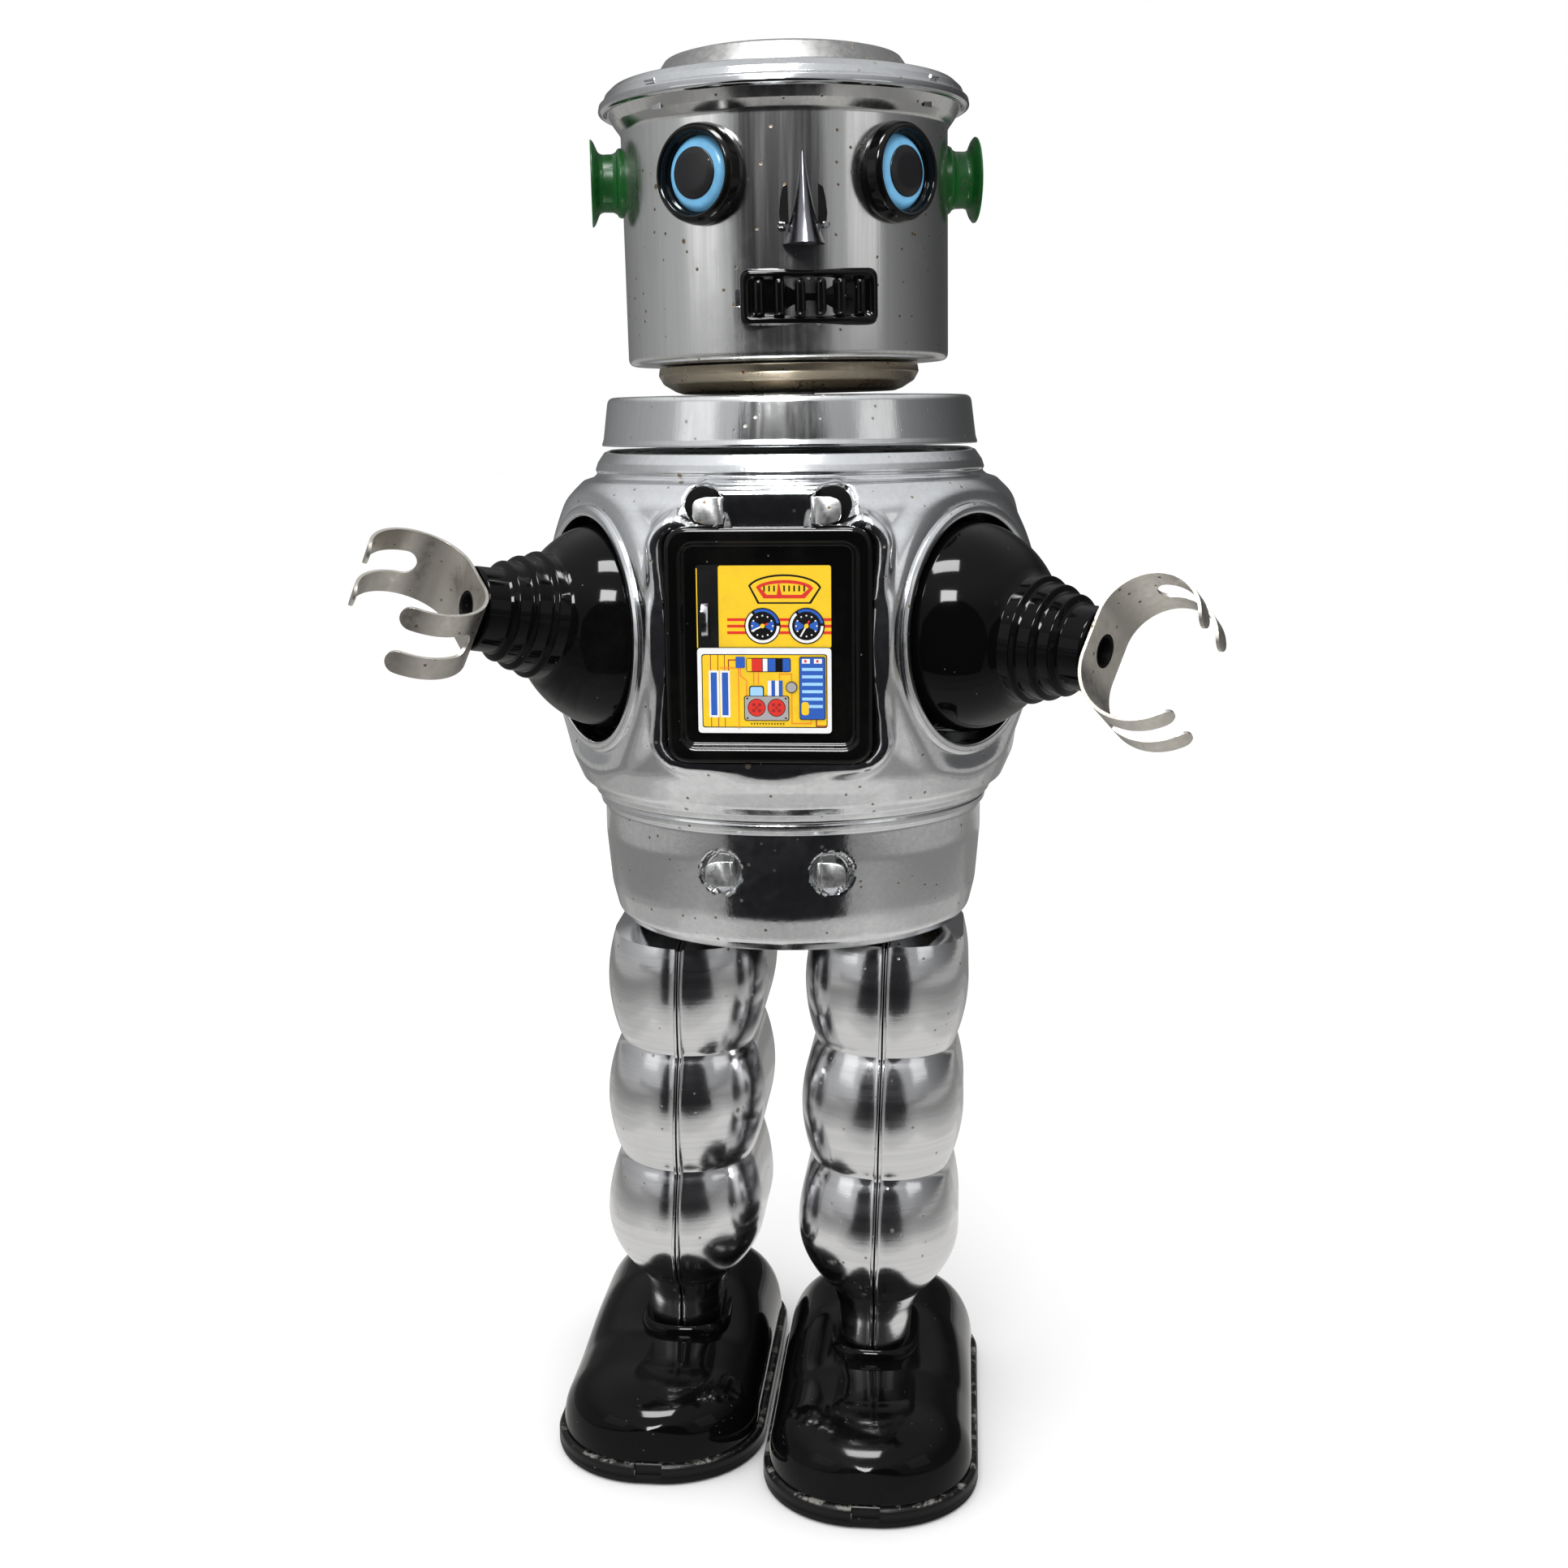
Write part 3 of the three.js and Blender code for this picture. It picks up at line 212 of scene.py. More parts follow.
def rounded(points, steps=5, closed=False):
    """A polyline from (x, y, radius) corners, each rounded with an arc of up to that radius."""
    count = len(points)
    line = []
    for i, (x, y, radius) in enumerate(points):
        here = Vector((x, y))
        if radius == 0 or (not closed and i in (0, count - 1)):
            line.append(here)
            continue
        before = Vector(points[i - 1][:2]) - here
        after = Vector(points[(i + 1) % count][:2]) - here
        half = before.angle(after) / 2
        reach = min(radius / math.tan(half), 0.48 * before.length, 0.48 * after.length)
        start = here + before.normalized() * reach
        end = here + after.normalized() * reach
        for k in range(steps + 1):
            t = k / steps
            line.append(start * (1 - t) ** 2 + here * 2 * t * (1 - t) + end * t ** 2)
    return line


def resampled(line, spacing):
    """The same line with no gap between points longer than the spacing."""
    fine = [line[0]]
    for a, b in zip(line, line[1:]):
        pieces = max(1, math.ceil((b - a).length / spacing))
        fine += [a.lerp(b, k / pieces) for k in range(1, pieces + 1)]
    return fine


def revolved(line, segments):
    """Points and faces of a line of (radius, z) turned round Z. A line off the axis is closed on itself."""
    verts, rows, faces = [], [], []
    for r, z in line:
        if r < 1e-6:
            rows.append([len(verts)] * segments)
            verts.append((0, 0, z))
            continue
        rows.append(list(range(len(verts), len(verts) + segments)))
        for k in range(segments):
            angle = 2 * math.pi * k / segments
            verts.append((r * math.cos(angle), r * math.sin(angle), z))
    open_line = line[0][0] < 1e-6 and line[-1][0] < 1e-6
    pairs = list(zip(rows, rows[1:])) + ([] if open_line else [(rows[-1], rows[0])])
    for a, b in pairs:
        for k in range(segments):
            n = (k + 1) % segments
            face = list(dict.fromkeys([a[k], a[n], b[n], b[k]]))
            if len(face) > 2:
                faces.append(face)
    return verts, faces


def lathe(name, points, material, matrix=None, segments=96, steps=5):
    """A piece turned round Z from (radius, z, corner radius) points."""
    closed = not (points[0][0] == 0 and points[-1][0] == 0)
    verts, faces = revolved(rounded(points, steps, closed), segments)
    return mesh_object(name, verts, faces, material, matrix)


def lofted(loops, wrap=False):
    """Points and faces of a skin over loops of equal size, with its ends capped or joined to each other."""
    size = len(loops[0])
    verts = [tuple(p) for loop in loops for p in loop]
    faces = []
    rows = len(loops)
    for i in range(rows if wrap else rows - 1):
        a, b = i * size, ((i + 1) % rows) * size
        faces += [[a + k, a + (k + 1) % size, b + (k + 1) % size, b + k] for k in range(size)]
    if not wrap:
        faces.append(list(range(size)))
        faces.append([(rows - 1) * size + k for k in range(size)])
    return verts, faces


def rounded_rectangle(width, height, radius, steps=6):
    w, h = width / 2, height / 2
    corners = [(w, -h), (w, h), (-w, h), (-w, -h)]
    return rounded([(x, y, radius) for x, y in corners], steps, closed=True)


def inset(outline, distance):
    """A closed outline moved inwards by a small distance. The outline runs anticlockwise."""
    count = len(outline)
    moved = []
    for i, here in enumerate(outline):
        along = (outline[(i + 1) % count] - outline[i - 1]).normalized()
        moved.append(here + Vector((-along.y, along.x)) * distance)
    return moved


def prism(outline, depth, bevel):
    """Points and faces of an outline given a depth along +Z, with its far edge bevelled."""
    near_edge = bevel * 0.3
    steps = ((0, 0), (0, depth - bevel), (near_edge, depth - near_edge), (bevel, depth))
    return lofted([[(p.x, p.y, z) for p in inset(outline, edge)] for edge, z in steps])


def merged(*shapes):
    """Several (points, faces) shapes as one."""
    verts, faces = [], []
    for points, polygons in shapes:
        base = len(verts)
        verts += [tuple(p) for p in points]
        faces += [[base + k for k in polygon] for polygon in polygons]
    return verts, faces


def placed(shape, matrix):
    points, faces = shape
    return [matrix @ Vector(p) for p in points], faces


def blend(low_edge, high_edge, value):
    """0 below the low edge, 1 above the high edge, and smooth between."""
    t = min(1.0, max(0.0, (value - low_edge) / (high_edge - low_edge)))
    return t * t * (3 - 2 * t)


def on_circle(x, y, radius, degrees):
    angle = math.radians(degrees)
    return Vector((x + radius * math.cos(angle), y + radius * math.sin(angle)))


# ---------- material helpers ----------

class Shader:
    """Short calls for building one procedural material."""

    def __init__(self, name):
        self.material = bpy.data.materials.new(name)
        self.material.use_nodes = True
        self.tree = self.material.node_tree
        self.surface = self.tree.nodes["Principled BSDF"]
        self.coordinates = self.tree.nodes.new("ShaderNodeTexCoord").outputs["Object"]

    def node(self, kind, **inputs):
        node = self.tree.nodes.new(kind)
        for key, value in inputs.items():
            self.feed(node.inputs[key.replace("_", " ")], value)
        return node

    def feed(self, socket, value):
        if isinstance(value, bpy.types.NodeSocket):
            self.tree.links.new(value, socket)
        else:
            socket.default_value = value

    def stretched(self, x, y, z):
        """Object coordinates times a scale for each axis, per metre."""
        node = self.node("ShaderNodeMapping", Vector=self.coordinates)
        node.inputs["Scale"].default_value = (x, y, z)
        return node.outputs["Vector"]

    def noise(self, scale, detail=4.0, roughness=0.55, vector=None):
        where = self.coordinates if vector is None else vector
        node = self.node("ShaderNodeTexNoise", Vector=where, Scale=scale, Detail=detail, Roughness=roughness)
        return node.outputs["Fac"]

    def cells(self, scale):
        node = self.node("ShaderNodeTexVoronoi", Vector=self.coordinates, Scale=scale)
        return node.outputs["Distance"], node.outputs["Color"]

    def range(self, value, from_low, from_high, to_low=0.0, to_high=1.0):
        node = self.tree.nodes.new("ShaderNodeMapRange")
        for key, number in zip(range(5), (value, from_low, from_high, to_low, to_high)):
            self.feed(node.inputs[key], number)
        return node.outputs["Result"]

    def math(self, operation, a, b):
        node = self.tree.nodes.new("ShaderNodeMath")
        node.operation = operation
        self.feed(node.inputs[0], a)
        self.feed(node.inputs[1], b)
        return node.outputs["Value"]

    def mix(self, factor, a, b):
        node = self.tree.nodes.new("ShaderNodeMix")
        node.data_type = "RGBA"
        self.feed(node.inputs["Factor"], factor)
        for socket, value in ((node.inputs[6], a), (node.inputs[7], b)):
            self.feed(socket, value if isinstance(value, bpy.types.NodeSocket) else (*value, 1))
        return node.outputs[2]

    def bump(self, height, distance, strength=1.0, normal=None):
        node = self.node("ShaderNodeBump", Height=height, Distance=distance * MM, Strength=strength)
        if normal is not None:
            self.feed(node.inputs["Normal"], normal)
        return node.outputs["Normal"]

    def specks(self, scale, size, share):
        """1 on scattered small dots, 0 elsewhere."""
        distance, colour = self.cells(scale)
        dot = self.range(distance, size, size * 0.6)
        pick = self.node("ShaderNodeSeparateColor", Color=colour).outputs["Red"]
        return self.math("MULTIPLY", dot, self.range(pick, share, share - 0.02))

    def finish(self, color, roughness, metallic=0.0, normal=None, specular=0.5):
        settings = {"Base Color": color, "Roughness": roughness, "Metallic": metallic,
                    "Specular IOR Level": specular}
        for key, value in settings.items():
            self.feed(self.surface.inputs[key], value)
        if normal is not None:
            self.feed(self.surface.inputs["Normal"], normal)
        return self.material


# Which way rubbed streaks run: the grain is stretched along the axes with a low scale.
EVEN = (1, 1, 1)
VERTICAL = (1, 1, 0.03)
LEVEL = (0.03, 0.03, 1)
GREY_DUST = (0.30, 0.28, 0.24)


def metal(name, color, roughness, streaks=EVEN, streak_depth=0.0, waves=0.0, stain=0.35, specks=0.3,
          stain_color=(0.20, 0.15, 0.09), grit=0.0):
    """Plated or polished sheet metal with rubbed streaks, stains, pits and slight dents."""
    s = Shader(name)
    grain = s.noise(900, 5, 0.6, s.stretched(*streaks))
    cloud = s.noise(55, 6, 0.62)
    patch = s.range(cloud, 0.52, 0.72)
    pits = s.specks(520, 0.16, specks)
    large_pits = s.specks(190, 0.10, specks * 0.5)
    dirt = s.math("MAXIMUM", pits, large_pits)
    tone = s.mix(s.range(grain, 0.3, 0.7, 0, 0.5), color, [c * 0.78 for c in color])
    tone = s.mix(s.math("MULTIPLY", patch, stain * 0.5), tone, [c * 0.62 for c in color])
    tone = s.mix(s.math("MULTIPLY", dirt, stain * 1.6), tone, stain_color)
    rubbed = s.range(grain, 0.3, 0.7, roughness * 0.8, roughness * 1.3)
    rough = s.math("ADD", rubbed, s.math("MULTIPLY", patch, stain * 0.16))
    rough = s.math("ADD", rough, s.math("MULTIPLY", dirt, 0.25))
    normal = s.bump(s.noise(42, 2, 0.4), waves) if waves else None
    normal = s.bump(grain, streak_depth, normal=normal) if streak_depth else normal
    normal = s.bump(s.noise(1700, 3, 0.7), grit, normal=normal) if grit else normal
    normal = s.bump(s.math("MULTIPLY", dirt, -1.0), 0.02, normal=normal)
    return s.finish(tone, rough, 1.0, normal)


def gloss(name, color, roughness, dust=0.35, specular=0.35):
    """Moulded plastic or enamel with dust, fine rubs and a barely uneven surface."""
    s = Shader(name)
    film = s.range(s.noise(70, 6, 0.65), 0.50, 0.80)
    grains = s.specks(650, 0.10, 0.22)
    rubs = s.range(s.noise(1400, 3, 0.6, s.stretched(0.25, 0.25, 1)), 0.62, 0.72)
    tone = s.mix(s.math("MULTIPLY", grains, dust), color, GREY_DUST)
    tone = s.mix(s.math("MULTIPLY", film, dust * 0.05), tone, GREY_DUST)
    rough = s.math("ADD", s.range(film, 0, 1, roughness, roughness + 0.10), s.math("MULTIPLY", rubs, 0.05))
    rough = s.math("ADD", rough, s.math("MULTIPLY", grains, 0.3))
    normal = s.bump(s.noise(38, 2, 0.4), 0.05)
    normal = s.bump(grains, 0.02, normal=normal)
    return s.finish(tone, rough, 0.0, normal, specular)


def rubbed_sole(name, color, roughness):
    """Moulded plastic whose upper rim has been rubbed pale in broken lengths."""
    s = Shader(name)
    height = s.node("ShaderNodeSeparateXYZ", Vector=s.coordinates).outputs["Z"]
    above = s.range(height, SOLE_RUB["bottom"][0] * MM, SOLE_RUB["bottom"][1] * MM)
    below = s.range(height, SOLE_RUB["top"][1] * MM, SOLE_RUB["top"][0] * MM)
    rim = s.math("MULTIPLY", above, below)
    broken = s.range(s.noise(330, 5, 0.7), 0.52, 0.60)
    rub = s.math("MULTIPLY", rim, broken)
    dust = s.specks(600, 0.11, 0.25)
    tone = s.mix(s.math("MULTIPLY", dust, 0.4), color, GREY_DUST)
    tone = s.mix(s.math("MULTIPLY", rub, 0.38), tone, (0.50, 0.48, 0.44))
    uneven = s.range(s.noise(90, 5, 0.6), 0.3, 0.7, roughness, roughness + 0.15)
    rough = s.math("ADD", uneven, s.math("MULTIPLY", rub, 0.3))
    normal = s.bump(s.noise(60, 2, 0.4), 0.04)
    normal = s.bump(rub, -0.02, normal=normal)
    return s.finish(tone, rough, 0.0, normal, 0.2)


def painted(name, color, worn_color, roughness, wear=0.5):
    """Brushed-on paint that has chipped and darkened in spots."""
    s = Shader(name)
    chips = s.range(s.noise(420, 6, 0.7), 0.60, 0.66)
    cloud = s.range(s.noise(130, 4, 0.6), 0.35, 0.75)
    tone = s.mix(cloud, [c * 0.7 for c in color], [c * 1.15 for c in color])
    tone = s.mix(s.math("MULTIPLY", chips, wear), tone, worn_color)
    rough = s.range(chips, 0, 1, roughness, roughness + 0.3)
    normal = s.bump(s.noise(700, 4, 0.6), 0.03)
    normal = s.bump(chips, -0.03, normal=normal)
    return s.finish(tone, rough, 0.0, normal, 0.25)


def printed(name, color):
    """Ink on lacquered tin: faintly uneven colour and a few dark specks."""
    s = Shader(name)
    roughness = 0.3
    cloud = s.noise(260, 5, 0.6)
    specks = s.specks(1500, 0.12, 0.10)
    tone = s.mix(s.range(cloud, 0.3, 0.7, 0, 1), color, [c * 0.86 for c in color])
    tone = s.mix(s.math("MULTIPLY", specks, 0.6), tone, (0.12, 0.10, 0.08))
    normal = s.bump(s.noise(2200, 3, 0.5), 0.008)
    return s.finish(tone, s.range(cloud, 0.3, 0.7, roughness, roughness + 0.12), 0.0, normal, 0.3)


CHROME = metal("body_chrome", (0.77, 0.78, 0.79), 0.13, streak_depth=0.006, waves=0.12, stain=0.55,
               specks=0.35, grit=0.012)
LEG_CHROME = metal("leg_chrome", (0.77, 0.77, 0.78), 0.15, streaks=LEVEL, streak_depth=0.014, waves=0.09,
                   stain=0.4, specks=0.3, grit=0.008)
LID_CHROME = metal("lid_chrome", (0.60, 0.61, 0.62), 0.12, streak_depth=0.003, waves=0.06, stain=0.4,
                   specks=0.3)
HEAD_TIN = metal("head_tin", (0.72, 0.72, 0.71), 0.18, streaks=VERTICAL, streak_depth=0.012, waves=0.08,
                 stain=0.8, specks=0.45)
COLLAR_TIN = metal("collar_tin", (0.76, 0.77, 0.77), 0.15, streaks=VERTICAL, streak_depth=0.018, waves=0.03,
                   stain=0.4, specks=0.3, grit=0.003)
LUG_TIN = metal("lug_tin", (0.60, 0.61, 0.60), 0.36, streak_depth=0.01, waves=0.04, stain=0.6, specks=0.5,
                grit=0.02)
CAP_TIN = metal("cap_tin", (0.23, 0.23, 0.225), 0.40, streak_depth=0.01, waves=0.02, stain=0.5)
CUP_TIN = metal("cup_tin", (0.34, 0.29, 0.22), 0.30, streaks=(1, 1, 0.3), streak_depth=0.01, waves=0.04,
                stain=1.0, specks=0.5, stain_color=(0.13, 0.06, 0.02))
NICKEL = metal("claw_nickel", (0.60, 0.57, 0.52), 0.32, streak_depth=0.01, waves=0.06, stain=0.7,
               specks=0.4)
STEEL = metal("motor_steel", (0.50, 0.51, 0.53), 0.36, streaks=LEVEL, streak_depth=0.02, stain=0.6)
BRASS = metal("gear_brass", (0.68, 0.50, 0.22), 0.32, streak_depth=0.01, stain=0.6)
GUNMETAL = metal("nose_gunmetal", (0.17, 0.17, 0.19), 0.20, streaks=VERTICAL, streak_depth=0.006, stain=0.6)
BLACK_PLASTIC = gloss("black_plastic", (0.002, 0.002, 0.0022), 0.07, dust=0.22, specular=0.12)
SOLE_PLASTIC = rubbed_sole("sole_plastic", (0.004, 0.004, 0.004), 0.25)
BLACK_ENAMEL = gloss("black_enamel", (0.002, 0.002, 0.002), 0.10, dust=0.3, specular=0.2)
GREEN_PAINT = painted("ear_green", (0.005, 0.080, 0.012), (0.03, 0.03, 0.02), 0.32)
IRIS_BLUE = painted("iris_blue", (0.17, 0.46, 0.74), (0.25, 0.35, 0.40), 0.22, wear=0.15)
PUPIL_BLACK = gloss("pupil_black", (0.006, 0.006, 0.007), 0.28, dust=0.9)
# Near-black, barely reflecting colour for the pocket floors, the nose slits and the palm rivets: painted
# shade standing in for the shadow inside these hollows.
PAINTED_SHADE = gloss("painted_hollow_shade", (0.004, 0.004, 0.004), 0.5, dust=0.3, specular=0.05)


# ---------- body shells ----------

FRONT_HALF_ANGLE = 1.1      # radians: the part of the front shell that has pressed features

# (radius, z, corner radius) up the shell, from its bottom edge to the neck hole.
BODY_PROFILE = [
    (27.2, 91.9, 0), (27.6, 91.2, 0.3), (28.7, 91.2, 0.7), (30.2, 92.9, 2.4), (31.2, 97, 12), (32, 106, 14),
    (32, 110.7, 0.5), (32.7, 111.4, 0.3), (32.9, 112.2, 0.3), (32.7, 112.7, 0.2), (33.5, 113.2, 0.4),
    (33.9, 114.2, 0.6), (35.6, 115.6, 2), (37.4, 119.8, 6), (38.6, 128, 12), (39.1, 142, 20), (38.7, 155, 14),
    (37.0, 162, 6), (34.2, 164.7, 1.6), (32.6, 165.2, 0.6), (31.9, 165.8, 0.3), (32.2, 166.4, 0.5),
    (31.8, 167.6, 1.0), (30.7, 169.2, 0.8), (29.6, BODY_TOP_Z, 0.6), (NECK_HOLE_R, BODY_TOP_Z, 0),
]


def arm_offset(x, y, z, sign):
    """How far a point lies out along an arm hole's axis, and how far off that axis."""
    angle = math.radians(sign * ARM_ANGLE)
    along = x * math.sin(angle) - y * math.cos(angle)
    across = math.hypot(x * math.cos(angle) + y * math.sin(angle), z - ARM_HOLE["z"])
    return along, across


def frame_distance(x, z):
    """Distance in front view from the chest frame's outline: negative inside."""
    corner = FRAME["corner"]
    dx = abs(x) - (FRAME["width"] / 2 - corner)
    dz = abs(z - FRAME["z"]) - (FRAME["height"] / 2 - corner)
    outside = math.hypot(max(dx, 0), max(dz, 0))
    return outside + min(max(dx, dz), 0) - corner


def brow_pull(x, z):
    """How far the shell is drawn out into the low brow above the frame, from 0 to 1."""
    dx = max(0.0, abs(x) - BROW["half_width"])
    dz = max(0.0, z - BROW["top_z"], BROW["bottom_z"] - z)
    return 1 - blend(0.4, 3.2, math.hypot(dx, dz))


def pocket_depth(x, z):
    """How far the shell is pressed in round the folded tongues and under the bar between the upper two."""
    upper = math.hypot(abs(x) - POCKET["x"], z - POCKET["z"]) - POCKET["r"]
    lower = math.hypot(abs(x) - POCKET["lower_x"], z - LUGS["lower"]["z"]) - POCKET["r"]
    depth = POCKET["depth"] * (1 - blend(-0.6, 0.3, min(upper, lower * 1.4)))
    between = 1 - blend(POCKET["x"] - 4.2, POCKET["x"] - 3.2, abs(x))
    bottom, top = BROW["bottom_z"], BROW["top_z"] + 0.2
    under = blend(bottom - 2.5, bottom, z) * (1 - blend(bottom, top, z))
    return max(depth, between * POCKET["undercut"] * under)


def belt_dip(x, z):
    """The faint hollow pressed in above the belt, in the middle of the front."""
    rise = blend(*BELT_DIP["bottom"], z) * (1 - blend(*BELT_DIP["top"], z))
    return BELT_DIP["depth"] * rise * (1 - blend(*BELT_DIP["side"], abs(x)))


def shell_radius(angle, base, z):
    """The front shell's radius at an angle from forward, with its rims, pockets and pressed lip."""
    radius = base
    for sign in (1, -1):
        x, y = radius * math.sin(angle), -radius * math.cos(angle)
        along, across = arm_offset(x, y, z, sign)
        if along > 0:
            facing = math.cos(angle - math.radians(sign * ARM_ANGLE))
            flat = ARM_HOLE["flat"] / max(facing, 0.4)
            radius += (flat - radius) * (1 - blend(ARM_HOLE["flat_r"], ARM_HOLE["fade_r"], across))
    if abs(angle) < FRONT_HALF_ANGLE:
        x = radius * math.sin(angle)
        distance = frame_distance(x, z)
        lip = (1 - blend(0.9, 3.4, distance)) * (0.9 if abs(x) > 14 else 0.75)
        pocket = 1 - blend(-0.9, 0.1, distance)
        pulls = ((FRAME["shell_lip"], lip), (FRAME["recess"], pocket), (BROW["front"], brow_pull(x, z)))
        for plane, pull in pulls:
            radius += (plane / math.cos(angle) - radius) * pull
        radius -= pocket_depth(x, z) + belt_dip(x, z)
    return radius


def build_shell(name, node, centre, columns, spacing, shaped):
    """Half of the round body between its two side seams, centred on an angle from forward."""
    line = resampled(rounded(BODY_PROFILE, 4), spacing)
    edge = math.degrees(SEAM_GAP / SHELL_R)
    verts = []
    for base, z in line:
        for k in range(columns + 1):
            angle = math.radians(centre - 90 + edge + (180 - 2 * edge) * k / columns)
            radius = shell_radius(angle, base, z) if shaped else base
            verts.append((radius * math.sin(angle), -radius * math.cos(angle), z))
    faces = []
    for i in range(len(line) - 1):
        for k in range(columns):
            corner = i * (columns + 1) + k
            face = [corner, corner + 1, corner + columns + 2, corner + columns + 1]
            if shaped and hidden_by_fitting([verts[v] for v in face]):
                continue
            faces.append(face)
    obj = mesh_object(name, verts, faces, CHROME, sharp=50)
    wall = obj.modifiers.new("thickness", "SOLIDIFY")
    wall.thickness = SHELL_TIN * MM
    wall.offset = -1
    settle(obj, "body", "chrome", node)


def hidden_by_fitting(corners):
    """True for faces that an arm hole or the chest frame's pocket opens up."""
    x, y, z = (sum(c[i] for c in corners) / 4 for i in range(3))
    for sign in (1, -1):
        along, across = arm_offset(x, y, z, sign)
        if along > 0 and across < ARM_HOLE["cut_r"]:
            return True
    return y < 0 and frame_distance(x, z) < -2.2


def build_body():
    build_shell("shell_front", "body_front_shell", 0, 300, 0.42, True)
    build_shell("shell_back", "body_back_shell", 180, 120, 1.1, False)
    for side, sign in SIDES.items():
        inner, outer, plane = ARM_HOLE["inner_r"], ARM_HOLE["outer_r"], ARM_HOLE["plane"]
        rim = [
            (inner, plane - 2.6, 0), (inner, plane + 0.35, 0.5), (outer - 0.6, plane + 0.35, 0.5),
            (outer, plane - 0.1, 0.3), (outer, plane - 0.7, 0.2), (inner + 0.8, plane - 0.8, 0.2),
            (inner + 0.8, plane - 2.6, 0),
        ]
        place = move(0, 0, ARM_HOLE["z"]) @ turn(sign * ARM_ANGLE, "Z") @ TO_FRONT
        settle(lathe(f"arm_rim_{side}", rim, CHROME, place, 128), "body", "chrome")


def lug_shape(sign, y, z):
    """One D-shaped tongue end, leaning over the shell, and the stem that comes out of the slot behind it."""
    d_half = [(0, -2.0, 0), (2.0, -2.0, 2), (3.8, -1.5, 2), (3.8, 1.5, 2), (2.0, 2.0, 2), (0, 2.0, 0)]
    half = rounded(d_half, 5)
    outline = half if sign > 0 else [Vector((-p.x, p.y)) for p in reversed(half)]
    lean = TO_FRONT @ turn(-LUG_TILT, "X")
    face = placed(prism(outline, LUG_THICKNESS, 0.16), move(sign * LUG_X, 0.75 - y, z) @ lean)
    root = rounded_rectangle(0.8, 4.0, 0.2, 3)
    stem = placed(prism(root, 2.4, 0.15), move(sign * (LUG_X - 0.25), 2.8 - y, z) @ TO_FRONT)
    return face, stem


def build_pocket_shade(sign):
    """A near-black disc at the bottom of the pocket that an upper tongue is folded into: painted shade where
    the pocket lies in shadow.
    """
    r = POCKET["r"] - 0.4
    floor = [(0, 0.5, 0), (r - 0.1, 0.5, 0.1), (r, 0, 0), (0, 0, 0)]
    spot = move(sign * POCKET["x"], 2.9 - LUGS["upper"]["y"], POCKET["z"]) @ TO_FRONT
    settle(lathe(f"pocket_shade_{sign + 1}", floor, PAINTED_SHADE, spot, 40, 3), "body", "chrome")


def build_lugs():
    """The tongues of the two brackets, folded flat over the shell, four in all."""
    for sign in (1, -1):
        build_pocket_shade(sign)
    for name, spec in LUGS.items():
        shapes = [shape for sign in (1, -1) for shape in lug_shape(sign, spec["y"], spec["z"])]
        obj = mesh_object(f"folded_lugs_{name}", *merged(*shapes), LUG_TIN)
        settle(obj, "body", "chrome", f"{name}_bracket")


def build_collar():
    top = COLLAR_TOP_Z
    points = [
        (POST_R, top, 0), (29.9, top, 1.3), (30.75, 171.3, 2), (31.0, 170.6, 0.2), (31.0, 170.2, 0.2),
        (30.4, 170.2, 0.1), (30.1, 171.4, 0.5), (29.3, top - 0.7, 1), (POST_R, top - 0.7, 0),
    ]
    settle(lathe("collar_drum", points, COLLAR_TIN, segments=160, steps=7), "body", "bright_tin", "collar")


# ---------- head ----------

def on_can(x, z, height=0.0):
    """A point of the head's front, x measured round its face, standing off it by a height."""
    radius = HEAD["r"] + height
    angle = x / HEAD["r"]
    return (radius * math.sin(angle), -radius * math.cos(angle), z)


def bent_tab(name, outline, x, z, stand, bevel):
    """A small tin tab bent over on the head's front."""
    steps = ((0, 0), (stand, 0), (stand + bevel, bevel))
    loops = [[on_can(x + p.x, z + p.y, rise) for p in inset(outline, edge)] for rise, edge in steps]
    return mesh_object(name, *lofted(loops), LID_CHROME, NECK)


def build_head_can():
    bottom, top, r = HEAD["bottom_z"], HEAD["top_z"], HEAD["r"]
    points = [
        (POST_R, bottom, 0), (r - 0.1, bottom, 1.3), (r, top, 1.5), (27.4, top + 1.5, 1.2),
        (28.4, top + 3.2, 0.6), (28.0, top + 3.4, 0.2), (r - 0.5, top + 0.8, 1), (r - 0.7, bottom + 0.7, 1),
        (POST_R, bottom + 0.7, 0),
    ]
    can = lathe("head_drum", points, HEAD_TIN, NECK, 192, 7)
    settle(can, "head", "bright_tin", "head_can")


